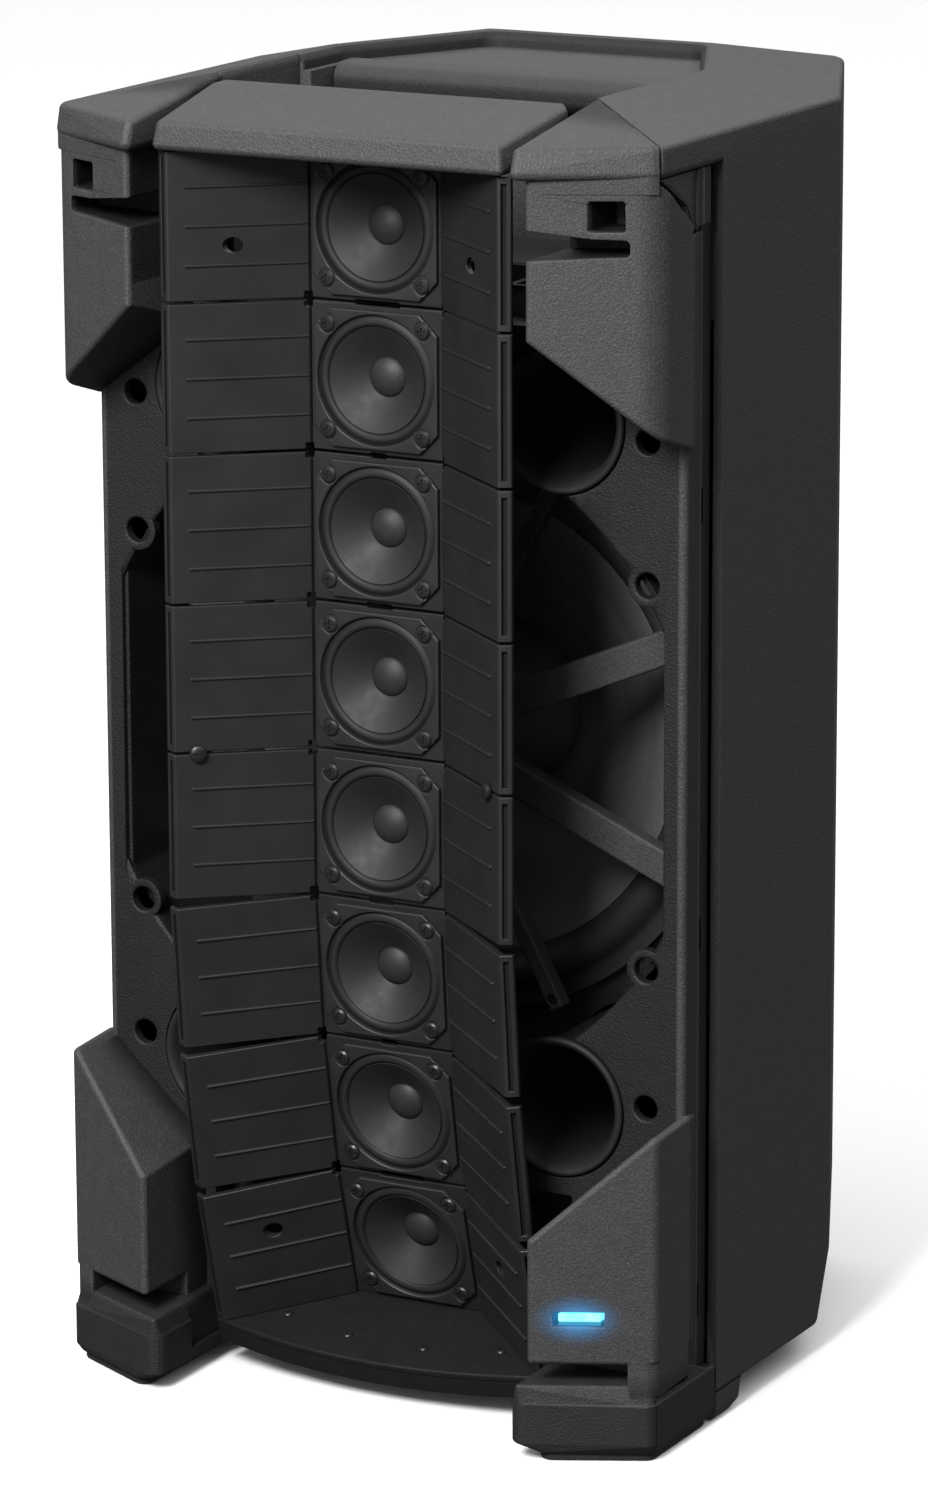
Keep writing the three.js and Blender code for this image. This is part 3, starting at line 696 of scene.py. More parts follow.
for f_ in rear.data.polygons:
    n_, c_ = f_.normal, f_.center
    fx, fy_, fz = abs(c_.x) * 1000, c_.y * 1000 - SHIFT, c_.z * 1000
    if fy_ < 34.8 and 56 < fz < 636.5:
        # painted shade: the front faces of the rear cabinet, seen in the side groove, take the darker copy
        if n_.y < -0.95:
            f_.material_index = 1
        # painted highlight: the bevel faces of the front side edges take the light copy
        elif n_.y < -0.2 and abs(n_.x) > 0.2 and fx > 166:
            f_.material_index = 2
    # painted shade: the walls of the recess behind the bar take the darker copy
    elif 657.2 < fz < 664.4 and fx < 106.5 and 98 < fy_ < 231 and n_.z < 0.8:
        f_.material_index = 3
for v_ in rear.data.vertices:
    v_.co.x = max(-HALF_W / 1000, min(HALF_W / 1000, v_.co.x))

# carrying bar
bar_outline = fillet([(122, 640), (149.6, 640), (149.6, 657.6), (141, 658.8), (122, 658.0)], [6, 3, 4, 8, 9], 7)
bar = prism("x", bar_outline, -97.7, 97.7)
_b = Mat.__new__(Mat)
_b.m, _b.t, _b.b = BARM, BARM.node_tree, BARM.node_tree.nodes["Principled BSDF"]
_b.tc = [n for n in BARM.node_tree.nodes if n.bl_idname == "ShaderNodeTexCoord"][0]
# painted shade: the bar's front face darkens to near black towards its lower edge, below z 657 mm
bsep = _b.node("ShaderNodeSeparateXYZ")
_b.link(_b.tc.outputs["Object"], bsep.inputs[0])
_b.link(_b.mix(_b.ramp(bsep.outputs["Z"], 0.6572, 0.6510), _b.b.inputs["Base Color"].links[0].from_socket, (0.0014, 0.0014, 0.0014)), _b.b.inputs["Base Color"])
use(soften(bar, 0.5, 2, 60), BARM, "cabinet", "carrying_bar", ["top_handle"], angle=50)

# ------------------------------------------------------------------ front moulding
BX = 109
BLOCK = [(BX, -61.5), (HALF_W, -33.5), (HALF_W, 1.4), (165, 5.5), (BX, 5.5)]


def block_plan(s):
    return side(s, fillet(BLOCK, [5, 11, 1.5, 0, 0], 6))


def upper_block(s):
    plan = side(s, fillet([(BX, -61.5), (HALF_W, -33.5), (HALF_W, 1.4), (165, 5.5), (165, 16), (BX, 16)], [0, 19, 0, 0, 0, 0], 9))
    o = hull([(x, y, 613.8 - 0.679 * abs(x) - 0.34 * min(y, 0)) for x, y in plan] + at(plan, 644))
    o = rounded(o, 2.4)
    meet(o, box(-180, 180, -80, 12, 480, 636.7))
    cut(o,
        prism("y", fillet(side(s, square(136.5, 152.6, 612.4, 627.1)), 1.6), -80, -18),
        prism("y", fillet(side(s, [(105, 598), (138, 600), (154.5, 600.5), (154.5, 608.5), (138, 609.1), (105, 613.9)]), [0, 3, 2.5, 2.5, 3, 0]), -80, -14),
        prism("x", [(-34.2, 637.5), (-29.6, 637.5), (-29.6, 636.7), (0, 620), (4.5, 609), (4.5, 606.8), (1.4, 606.8), (1.4, 611.5)], *sorted((s * 160, s * 170))))
    cut(o, prism("x", [(-29.6, 637.5), (-29.6, 636.7), (0, 620), (4.5, 609), (8, 609), (8, 637.5)], *sorted((s * 165.4, s * 170))))
    return o


def lower_block(s):
    plan = side(s, fillet([(BX, -61.5), (HALF_W, -33.5), (HALF_W, 1.4), (165, 5.5), (165, 16), (BX, 16)], [0, 5, 0, 0, 0, 0], 5))
    o = hull(at(plan, 50.2) + [(x, y, 113.2 + 0.93 * (abs(x) - 108.8) + 0.07 * (y + 61.5)) for x, y in plan])
    o = rounded(o, 2.6)
    meet(o, box(-180, 180, -80, 12, 40, 200))
    leg = prism("z", side(s, fillet([(154.1, -40.0), (HALF_W, -33.5), (HALF_W, 1.4), (165, 5.5), (BX, 5.5), (BX, -20), (154.1, -20)], [1.5, 10, 1.5, 0, 0, 0, 0], 6)), 33, 56)
    return add(o, leg)


def front_foot(s):
    plan = fillet([(100.4, -65.5), (HALF_W, -36.5), (HALF_W, 32.6), (100.4, 32.6)], [6, 6, 0, 0], 5)
    low = fillet([(111.5, -60.3), (HALF_W - 2, -33), (HALF_W - 1.2, 32.6), (111.5, 32.6)], [6, 6, 0, 0], 5)
    base = rounded(hull(side(s, at(plan, 31)) + side(s, at(plan, 9)) + side(s, at(low, 4))), 1.8)
    step = rounded(hull(side(s, at(plan, 28)) + side(s, [(104, -62, 39.5), (HALF_W - 3, -33, 39.5), (HALF_W - 3, 5, 39.5), (104, 5, 39.5)])), 1.6)
    return add(base, step)


def clipped(r, w, y0, y1, seg=128):
    return meet(rod("y", r, y0, y1, (0, WZ), seg), box(-w, w, y0 - 1, y1 + 1, 100, 600))


shell_plan = fillet([(-161.5, 32.8), (-161.5, 17.5), (-165, 16.5), (-165, 0), (165, 0), (165, 16.5), (161.5, 17.5), (161.5, 32.8), (157, 32.8), (157, 6), (-157, 6), (-157, 32.8)],
                    [0, 0.6, 0.8, 3.0, 3.0, 0.8, 0.6, 0, 0, 0, 0, 0], 6)
front = prism("z", shell_plan, 30, 636.7)
well = clipped(173, 154.8, 5, 86.3)
cut(well, clipped(170, 151.7, 4, 83.3))
cut(well, rod("y", 147, 80, 90, (0, WZ), 96))
cut(well, *[rod("y", 32.4, 4, 90, (s * 95.5, z), 48) for s in (1, -1) for z in (164.2, 510.4)])
add(front, well, box(-106, 106, 5, 24.5, 20.3, 122))
add(front, box(-106, 106, 5, 33.1, 20.3, 34), box(-59.3, 59.3, 5, 79, 512, 571.5))
add(front, box(-106, 106, 5, 24.5, 552, 571.5), box(-59.3, 59.3, 5, 79, 20.3, 158))
add(front, box(-157, 157, 5, 14, 571, 636.7))
for s in (1, -1):
    add(front, upper_block(s), lower_block(s))
    add(front, front_foot(s), prism("x", [(-29.6, 636.7), (0, 620), (4.5, 609), (24.4, 609), (24.4, 636.7)], *sorted((s * 157.5, s * 165.5))))
    neck = meet(prism("z", block_plan(s), 630, 640), ear_region(s))
    ear = rounded_ear(s)
    add(front, neck)
    add(front, ear)
opening = clipped(170, 151.7, -5, 83.3)
flare = meet(lathe([(0, -1), (173.2, -1), (172.4, 0), (170.6, 1.2), (170, 3.2), (0, 3.2)], (0, WZ), "y", 128), box(-153.6, 153.6, -3, 5, 100, 600))
add(opening, flare)
cut(opening, *[rod("y", 10.5, -6, 6, (s * 144, z), 40) for s in (1, -1) for z in (433.8, 240.8)])
for s in (1, -1):
    for z in (433.8, 240.8):
        add(front, rod("y", 10.5, 0, 6, (s * 144, z), 40))
cut(front, opening)
cut(front,
    prism("z", fillet([(-55.8, -30), (55.8, -30), (55.8, 75), (-55.8, 75)], [0, 0, 6, 6]), 24, 640),
    prism("z", fillet([(-103, -30), (103, -30), (103, 21.5), (-103, 21.5)], [0, 0, 5, 5]), 15, 118.5),
    box(-66, 66, 15, 46, 15, 42))
cut(front,
    prism("z", fillet([(-103, -30), (103, -30), (103, 21.5), (-103, 21.5)], [0, 0, 5, 5]), 556, 640),
    prism("z", [(-103.9, -80), (103.9, -80), (103.9, 60), (-103.9, 60)], 572, 670))
for s in (1, -1):
    cut(front, *[rod("y", 36.6, -5, 30, (s * 95.5, z), 72) for z in (164.2, 510.4)])
    cut(front, *[lathe([(0, -1), (7.0, -1), (7.0, 0), (6.2, 0.9), (6.2, 7.5), (0, 7.5)], (s * 144, z), "y", 40) for z in (504.5, 433.8, 240.8, 170.1)])
    # dark slots in the side groove, the joint in the foot and the gap under the block
    cut(front, *[prism("x", fillet([(21.5, z - 9), (25.5, z - 9), (25.5, z + 9), (21.5, z + 9)], 1.4), *sorted((s * 158.5, s * 163))) for z in (470, 255, 66)])
    cut(front, box(*sorted((s * 166.6, s * 170)), -33.4, -32.7, 3, 33))
    cut(front, prism("x", [(-31.5, 32.9), (1.2, 31.9), (1.2, 34.6), (-31.5, 33.5)], *sorted((s * 163, s * 170))))
cut(front, box(121.5, 144.3, -70, -34, 70.1, 77.6))
for s in (1, -1):
    cut(front, box(*sorted((s * 160.5, s * 170)), 1.0, 16.0, 606.4, 608.8))
tidy(front, 0.4)


def painted_led_glow(M, centre, reach, colour, power):
    """Painted light: a soft glowing halo on the plastic round the status light, from object coordinates."""
    sub = M.node("ShaderNodeVectorMath", operation="SUBTRACT")
    M.link(M.tc.outputs["Object"], sub.inputs[0])
    sub.inputs[1].default_value = centre
    sc = M.node("ShaderNodeVectorMath", operation="MULTIPLY")
    M.link(sub.outputs[0], sc.inputs[0])
    sc.inputs[1].default_value = (0.6, 0.6, 1.0)
    ln = M.node("ShaderNodeVectorMath", operation="LENGTH")
    M.link(sc.outputs[0], ln.inputs[0])
    f = M.ramp(ln.outputs["Value"], reach, 0.003, 0.0, 1.0)
    f = M.math("POWER", f, 2.2)
    M.link(M.math("MULTIPLY", f, power), M.b.inputs["Emission Strength"])
    M.b.inputs["Emission Color"].default_value = (*colour, 1)


FRONT = pebble("front_moulding_pebble", (0.035, 0.035, 0.036), 0.62)
_m = Mat.__new__(Mat)
_m.m, _m.t, _m.b = FRONT, FRONT.node_tree, FRONT.node_tree.nodes["Principled BSDF"]
_m.tc = [n for n in FRONT.node_tree.nodes if n.bl_idname == "ShaderNodeTexCoord"][0]
sep = _m.node("ShaderNodeSeparateXYZ")
_m.link(_m.tc.outputs["Object"], sep.inputs[0])
X_, Y_, Z_ = sep.outputs["X"], sep.outputs["Y"], sep.outputs["Z"]
ax = _m.math("ABSOLUTE", X_, 0.0)


def along_y(a, b, lo=0.0, hi=1.0):
    return _m.ramp(Y_, (a + SHIFT) / 1000, (b + SHIFT) / 1000, lo, hi)


def both_of(*masks):
    out = masks[0]
    for k in masks[1:]:
        out = _m.math("MULTIPLY", out, k)
    return out


old = _m.b.inputs["Base Color"].links[0].from_socket
# painted shade: the baffle plate is darkened against the blocks, its rolled edge is left out so it catches the light,
# the side below it gets painted shade too
col = _m.mix(both_of(along_y(-20, -2), _m.ramp(ax, 0.1606, 0.1618, 1.0, 0.0)), old, (0.0026, 0.0026, 0.0027))
col = _m.mix(both_of(along_y(2.0, 4.0), _m.ramp(ax, 0.1606, 0.1618)), col, (0.0135, 0.0135, 0.014))
# painted highlight: a light line along the outer edge of the side groove
col = _m.mix(both_of(along_y(14.8, 15.6), along_y(17.0, 17.8, 1.0, 0.0), _m.ramp(ax, 0.1640, 0.1644)), col, (0.060, 0.060, 0.061))
# painted shade: the feet and the floor of the array, below z 46 mm, are darkened
col = _m.mix(_m.ramp(Z_, 0.046, 0.036), col, (0.0095, 0.0095, 0.0098))
# painted shade: behind the face of the upper blocks it is painted nearly black
lean = _m.math("SUBTRACT", Y_, _m.math("MULTIPLY", _m.math("SUBTRACT", ax, 0.109), 0.476))
behind = _m.ramp(lean, (-59.0 + SHIFT) / 1000, (-56.0 + SHIFT) / 1000)
window = both_of(_m.ramp(Z_, 0.5700, 0.5712), _m.ramp(Z_, 0.6364, 0.6358), _m.ramp(ax, 0.1560, 0.1552))
col = _m.mix(both_of(behind, window), col, (0.0016, 0.0016, 0.0016))
# painted shade: the inner sides of the blocks beside the array are darkened
inside = both_of(_m.ramp(ax, 0.1094, 0.1088), along_y(-34, -14), _m.ramp(Z_, 0.6364, 0.6358))
_m.link(_m.mix(inside, col, (0.0030, 0.0030, 0.0031)), _m.b.inputs["Base Color"])
# painted light: the plastic round the status light glows
painted_led_glow(_m, P((132.7, -50, 74)), 0.0155, (0.03, 0.42, 1.0), 0.60)
use(soften(front, 0.7, 2, 40), [FRONT, HOLE], "cabinet", "front_moulding", ["front_baffle"])
# painted shade: the faces inside the small holes take the near-black material
for f_ in front.data.polygons:
    hx, hy, hz = abs(f_.center.x) * 1000 - 144, f_.center.y * 1000 - SHIFT, f_.center.z * 1000
    if hy > 1.3 and any(hx * hx + (hz - z) ** 2 < 6.6 ** 2 for z in (504.5, 433.8, 240.8, 170.1)):
        f_.material_index = 1
for v_ in front.data.vertices:
    v_.co.x = max(-HALF_W / 1000, min(HALF_W / 1000, v_.co.x))

# status light: bright core, dimmer lower strip
slope = 0.476
fy = lambda x: -55 + slope * (x - 121.9)
core = hull([(x, fy(x) + 0.6, z) for x in (123.6, 142.4) for z in (72.7, 76.9)] + [(x, -36, z) for x in (123.6, 142.4) for z in (72.7, 76.9)])
bevel(core, 0.5, 2)
use(core, LED, "cabinet", "status_light_core", ["status_light"])
strip = hull([(x, fy(x) + 1.1, z) for x in (123.6, 142.4) for z in (70.6, 72.6)] + [(x, -36, z) for x in (123.6, 142.4) for z in (70.6, 72.6)])
bevel(strip, 0.3, 2)
SMOKE = satin("status_lens_lower", (0.03, 0.16, 0.24), 0.35)
SMOKE.node_tree.nodes["Principled BSDF"].inputs["Emission Color"].default_value = (0.06, 0.40, 0.72, 1)
SMOKE.node_tree.nodes["Principled BSDF"].inputs["Emission Strength"].default_value = 0.35
use(strip, SMOKE, "cabinet", "status_light_lower")

# ------------------------------------------------------------------ fixings
def screw(centre, r, h, body, name, direction=(0, -1, 0), matrix=None, kind="cross", material=None):
    """A pan-head screw: domed head with a cross or star recess, axis along `direction` at `centre` (mm)."""
    seg = 28
    head = lathe([(0, -0.6), (r * 0.86, -0.6), (r, 0.0), (r, h * 0.35), (r * 0.8, h * 0.85), (r * 0.4, h), (0, h * 1.02)], (0, 0), "z", seg)
    w, l = r * 0.17, r * 0.58
    t0 = h * 0.3
    if kind == "cross":
        cutter = add(box(-l, l, -w, w, t0, h + 2), box(-w, w, -l, l, t0, h + 2))
    else:
        pts = []
        for k in range(12):
            a = math.pi * k / 6
            q = l if k % 2 == 0 else l * 0.62
            pts.append((q * math.cos(a), q * math.sin(a)))
        cutter = prism("z", pts, t0, h + 2)
    cut(head, cutter)
    q = Vector(direction).to_track_quat("Z", "Y").to_matrix().to_4x4()
    # helper geometry carries the frame shift, so take it out before turning
    head.data.transform(Matrix.Translation((0, -SHIFT / 1000, 0)))
    head.data.transform(Matrix.Translation(Vector(P(centre))) @ q)
    if matrix is not None:
        head.data.transform(matrix)
    return use(head, material or SCREW, body, name, angle=30, weighted=False)


# ------------------------------------------------------------------ ports
for s, tag in ((-1, "left"), (1, "right")):
    for z, lv in ((164.2, "lower"), (510.4, "upper")):
        r = 28.5
        prof = [(r, 117.8), (r + 2.4, 117.8), (r + 2.4, 10), (33.4, 4.6), (35.6, 2.2), (35.9, 0.2), (35.4, -1.1), (34.5, -1.55), (33.5, -1.4),
                (32.2, -0.3), (30.9, 1.6), (29.9, 4.0), (29.1, 7.2), (28.6, 11.5), (r, 16)]
        use(lathe(prof, (s * 95.5, z), "y", 96), PORT, "cabinet", "port_%s_%s" % (lv, tag), ["port_tube_%s_%s" % (lv, tag)], angle=50, weighted=False)

# ------------------------------------------------------------------ woofer
sur = [(121.6, 79.2), (123.2, 76.4), (125.6, 72.4), (128.4, 69.9), (131.6, 69.0), (134.8, 69.3), (137.8, 70.9), (140.2, 73.4), (141.8, 75.6), (144, 76.4), (150, 76.6), (150, 78.9),
       (141.4, 78.9), (138.6, 75.4), (136, 73.2), (132, 72.2), (128.6, 73.0), (126, 76.0), (124.4, 79.6), (122.4, 80.4)]
use(lathe(sur, (0, WZ), "y", 128), WROLL, "cabinet", "woofer_surround_roll", ["woofer_surround"], angle=60, weighted=False)
wc = [(0, 103.9), (9, 104.2), (18, 105.5), (27, 108.1), (35, 112.0), (41, 117.0), (43.6, 121.6), (44.2, 124.0), (50, 120.2), (60, 113.9), (62, 113.2), (64, 111.4), (80, 101.9), (82, 101.2), (84, 99.4), (100, 90.3), (102, 89.6), (104, 88.0), (119.5, 79.3), (121.2, 79.4),
      (121.2, 81.6), (104, 91), (84, 102.4), (64, 114.4), (50.3, 123.5), (50, 159.8), (47.2, 159.8), (47.0, 129), (40, 125), (18, 111.5), (0, 108)]
use(lathe(wc, (0, WZ), "y", 128), WCONE, "woofer_cone", "woofer_cone_paper", ["woofer_cone"], angle=50, weighted=False)

# ------------------------------------------------------------------ array bracket
legs = [23, 62, 118, 157, 203, 242, 298, 337]
bracket = rod("y", 34, 44, 56, (0, 337), 64)
add(bracket, box(-26, 26, 36, 46, 330.5, 339.5), box(-7, 7, -3.5, 46, 331.5, 338.5))
for a in legs:
    flat = a % 180 < 30 or a % 180 > 150
    w = 8.6 if flat else 4.2
    c, d = math.cos(math.radians(a)), math.sin(math.radians(a))
    reach = 172 if flat else 155
    n = (-d * w, c * w)
    leg = prism("y", [(c * 20 + n[0], 337 + d * 20 + n[1]), (c * 20 - n[0], 337 + d * 20 - n[1]), (c * reach - n[0], 337 + d * reach - n[1]), (c * reach + n[0], 337 + d * reach + n[1])], 42, 52)
    bevel(leg, 1.6, 3, 30, where=lambda x, y, z, dd: True)
    add(bracket, leg)
meet(bracket, box(-151.3, 151.3, -10, 80, 170, 500))
for a in (62, 118, 242, 298):
    c, d = math.cos(math.radians(a)) * 149, math.sin(math.radians(a)) * 149
    cut(bracket, rod("y", 2.9, 40, 44.2, (c, 337 + d), 24))
tidy(bracket, 0.5)
use(soften(bracket, 0.5, 2, 40), ARM, "cabinet", "array_bracket_arms", ["array_bracket"])

# ------------------------------------------------------------------ waveguide modules
HZ = PITCH / 2 - 0.75
WI, WO, FO, T = (36.8, -9.9), (91.3, -54.0), (97.3, -50.8), 2.6
plate_plan = [(-FO[0], FO[1]), (-WO[0], WO[1]), (-WI[0], WI[1]), (-WI[0] + 0.2, -7.6), (WI[0] - 0.2, -7.6), WI, WO, FO,
              (FO[0] - 0.4, FO[1] + T), (WO[0] + 1.2, WO[1] + T + 1.2), (WI[0] + 0.9, WI[1] + 3.4), (WI[0] - 1.2, -4.6),
              (-WI[0] + 1.2, -4.6), (-WI[0] - 0.9, WI[1] + 3.4), (-WO[0] - 1.2, WO[1] + T + 1.2), (-FO[0] + 0.4, FO[1] + T)]
plate_radii = [0.9, 1.8, 1.2, 0, 0, 1.2, 1.8, 0.9, 0, 0, 0, 0, 0, 0, 0, 0]
U = Vector((WI[0] - WO[0], WI[1] - WO[1]))
WING = U.length
U.normalize()
N = Vector((U.y, -U.x))
if N.y > 0:
    N = -N


def on_wing(s, along, off, z):
    return (s * (WO[0] + U.x * along + N.x * off), WO[1] + U.y * along + N.y * off, z)


def rib(s, z):
    a0, a1 = WING * 0.126, WING - 0.4
    pts = []
    for along, w, h in ((a0, 1.0, 1.15), (a1, 0.7, 0.85)):
        for q, k in ((w, -0.4), (w * 0.9, 0.0), (w * 0.55, h)):
            pts += [on_wing(s, along, k, z + q), on_wing(s, along, k, z - q)]
    return hull(pts)


FU = Vector((WO[0] - FO[0], WO[1] - FO[1])).normalized()
FN = Vector((-FU.y, FU.x))
if FN.y > 0:
    FN = -FN
mid = ((FO[0] + WO[0]) / 2 - 0.2, (FO[1] + WO[1]) / 2)


def flange_groove(s):
    w = 1.35
    pts = []
    for k, o in ((-w, 1.0), (w, 1.0), (w, -1.9), (-w, -1.9)):
        pts.append((s * (mid[0] + FU.x * k + FN.x * o), mid[1] + FU.y * k + FN.y * o))
    return prism("z", pts, -HZ + 3.2, HZ - 3.2)


def module(i):
    o = prism("z", fillet(plate_plan, plate_radii, 3), -HZ, HZ)
    bevel(o, 0.45, 2, 50, where=lambda x, y, z, d: abs(z) > HZ - 0.1)
    cut(o, rod("y", 30.6, -20, 5, (0, 0), 72))
    cut(o, flange_groove(1), flange_groove(-1))
    for s in (1, -1):
        for z in (-19.5, 0, 19.5):
            add(o, rib(s, z))
        notch = fillet([(s * 37.5 - 1.4, HZ - 3.4), (s * 37.5 + 1.4, HZ - 3.4), (s * 37.5 + 1.4, HZ + 1), (s * 37.5 - 1.4, HZ + 1)], [1.3, 1.3, 0, 0], 5)
        if i != 1:
            cut(o, prism("y", notch, -20, 5))
        if i != 8:
            cut(o, prism("y", [(x, -z) for x, z in notch], -20, 5))
        if i in (1, 8):
            zc = -10 if i == 1 else 10
            cut(o, rod("y", 4, -60, 10, (s * 66, zc), 40))
    # slots in the centre strip, where two modules meet
    slot_w = {(1, 2): 12.5, (7, 8): 12.5, (2, 3): 4.5, (6, 7): 4.5, (5, 6): 7.0, (3, 4): 7.0}
    for (a, b), w in slot_w.items():
        if i == a:
            cut(o, prism("y", fillet([(-w, -HZ - 1), (w, -HZ - 1), (w, -HZ + 0.8), (-w, -HZ + 0.8)], [0, 0, 0.7, 0.7]), -12, 0))
        if i == b:
            cut(o, prism("y", fillet([(-w, HZ + 1), (w, HZ + 1), (w, HZ - 0.8), (-w, HZ - 0.8)], [0, 0, 0.7, 0.7]), -12, 0))
    tidy(o, 0.3)
    return soften(o, 0.22, 1, 40)


D, CH = 34.5, 10
square_plan = [(-D + CH, -D), (D - CH, -D), (D, -D + CH), (D, D - CH), (D - CH, D), (-D + CH, D), (-D, D - CH), (-D, -D + CH)]
for i in range(1, 9):
    M = module_matrix(i)
    b = BODY[i]
    o = module(i)
    # painted shade: the faces inside the flange grooves take the near-black material
    dark_faces = []
    for f_ in o.data.polygons:
        c_ = f_.center
        px_, py_, pz_ = abs(c_.x) * 1000, c_.y * 1000 - SHIFT, c_.z * 1000
        k_ = (px_ - mid[0]) * FU.x + (py_ - mid[1]) * FU.y
        o_ = (px_ - mid[0]) * FN.x + (py_ - mid[1]) * FN.y
        if abs(k_) < 1.4 and -2.0 < o_ < -0.35 and abs(pz_) < HZ - 3.1:
            dark_faces.append(f_.index)
    place(o, M)
    use(o, [ARR, HOLE], b, "waveguide_%d" % i, ["module_housing_%d" % i])
    for k_ in dark_faces:
        o.data.polygons[k_].material_index = 1
    # driver: square frame, static outer half of the surround, paper cone and dust cap
    f = prism("y", fillet(square_plan, 1.2, 3), -10.3, -7.9)
    bevel(f, 0.7, 3, 50, where=lambda x, y, z, d: y < -10.2)
    cut(f, lathe([(0, -12), (33.4, -12), (33.1, -10.35), (32.5, -9.7), (32.2, -8.4), (32.2, -6), (0, -6)], (0, 0), "y", 72))
    cut(f, *[lathe([(0, -12), (5.0, -12), (5.0, -10.4), (4.7, -9.7), (0, -9.7)], (sx * 26.5, sz * 26.5), "y", 28) for sx in (1, -1) for sz in (1, -1)])
    can = lathe([(0, 8), (19, 8), (27, -6.2), (27, -8.0), (31.4, -8.0), (31.4, -6.4), (23, 9), (22, 12), (22, 25.4), (21.4, 26), (0, 26)], (0, 0), "y", 64)
    add(f, can)
    tidy(f, 0.3)
    place(f, M)
    use(soften(f, 0.2, 1, 45), FRM, b, "driver_frame_body_%d" % i, ["driver_frame_%d" % i])
    roll = lathe([(26.6, -7.8), (27.0, -8.7), (27.8, -9.25), (28.9, -9.55), (30.0, -9.45), (31.0, -9.0), (31.7, -8.4), (32.15, -8.2), (32.15, -7.4), (30.8, -8.0), (29.4, -9.4), (28.6, -9.5), (27.8, -8.4), (27.3, -7.4)], (0, 0), "y", 72)
    place(roll, M)
    use(roll, ROLL, b, "driver_surround_%d" % i, angle=60, weighted=False)
    cn = lathe([(9.6, 3.6), (10.2, 2.7), (10.6, 2.5), (18, -2.9), (26.3, -8.6), (26.5, -8.3), (26.4, -7.2), (18, -1.4), (10.2, 4.9), (9.6, 5.2)], (0, 0), "y", 72)
    place(cn, M)
    use(cn, CONE, "cone_%d" % i, "driver_paper_cone_%d" % i, ["driver_cone_%d" % i], angle=50, weighted=False)
    cap_prof = [(0, -0.9), (2.5, -0.72), (5.0, -0.15), (7.3, 0.85), (9.0, 2.0), (10.0, 3.0), (9.9, 3.9), (9.4, 3.9), (6.9, 2.2), (4.5, 1.2), (0, 0.6)]
    dc = lathe(cap_prof, (0, 0), "y", 64)
    place(dc, M)
    use(dc, DUST, "cone_%d" % i, "driver_dust_cap_%d" % i, angle=60, weighted=False)
    for n_, (sx, sz) in enumerate(((1, 1), (1, -1), (-1, 1), (-1, -1))):
        screw((sx * 26.5, -9.9, sz * 26.5), 4.0, 1.5, b, "driver_screw_%d_%d" % (i, n_ + 1), matrix=M)

# lip on module 1
lip_pts = [(-96.6, -59.7, 637.3), (96.6, -59.7, 637.3), (-97.5, -4.5, 637.3), (97.5, -4.5, 637.3), (-94.6, -57.2, 651.4), (94.6, -57.2, 651.4), (-99, 4, 663), (99, 4, 663),
           (-94, 11, 664.3), (94, 11, 664.3), (-99, 4, 652), (99, 4, 652), (-94, 11, 654), (94, 11, 654)]
lip = rounded(hull(lip_pts), 3.0)
cut(lip, hull([(-90, -50, 630), (90, -50, 630), (-92, -22, 630), (92, -22, 630), (-88, -50, 644), (88, -50, 644), (-92, -24, 649), (92, -24, 649)]))
tidy(lip, 0.4)
use(soften(lip, 0.4, 2, 45), CAB, "module_1", "array_lip", ["array_top_lip"])

# bowed bottom plate on module 8
bow = [(96.5 * k / 12, -52 - 14 * (1 - (k / 12) ** 2)) for k in range(-12, 13)]
plate = prism("z", bow + [(97.3, -46), (40, -4.6), (-40, -4.6), (-97.3, -46)], -HZ - 13.5, -HZ - 0.3)
bevel(plate, 1.2, 3, 40, where=lambda x, y, z, d: abs(d.z) < 1)
gr = [(x * 1.02, y - 1.2) for x, y in bow]
gi = [(x * 0.995, y + 0.9) for x, y in bow]
for k in range(len(bow) - 1):
    pass
groove = prism("z", gr + gi[::-1], -HZ - 4.1, -HZ - 3.3)
cut(plate, groove)
tidy(plate, 0.2)
place(plate, module_matrix(8))
use(plate, FLOORP, "module_8", "array_bottom", ["array_bottom_plate"], angle=30)

# hinge clips at the joint of modules 4 and 5
for s, tag in ((-1, "left"), (1, "right")):
    x = s * 82
    y = WI[1] + ((82 - WI[0]) / (WO[0] - WI[0])) * (WO[1] - WI[1])
    clip = lathe([(0, 0), (4.3, 0), (4.4, 0.6), (4.1, 1.7), (3.2, 2.3), (1.4, 2.5), (0, 2.5)], (0, 0), "z", 40)
    cut(clip, box(-3.1, 3.1, -0.55, 0.55, 1.6, 3.5))
    clip.data.transform(Matrix.Translation((0, -SHIFT / 1000, 0)))
    nrm = Vector((s * N.x, N.y, 0))
    clip.data.transform(Matrix.Translation(Vector(P((x, y, MID_Z))) + nrm * 0.0008) @ nrm.to_track_quat("Z", "Y").to_matrix().to_4x4())
    use(clip, SCREW, "cabinet", "joint_pin_" + tag, ["array_clip_" + tag], angle=30, weighted=False)

# screws on the bottom plate and at the feet of the bracket
for k, (x, y) in enumerate(((-62, -38), (-22, -47), (22, -47), (62, -38))):
    screw((x, y, -HZ - 0.2), 2.6, 1.2, "module_8", "plate_screw_%d" % (k + 1), (0, 0, 1), module_matrix(8))
for k, a in enumerate((62, 118, 242, 298)):
    c, d = math.cos(math.radians(a)) * 149, math.sin(math.radians(a)) * 149
    screw((c, 43.6, 337 + d), 2.7, 1.2, "cabinet", "bracket_screw_%d" % (k + 1))

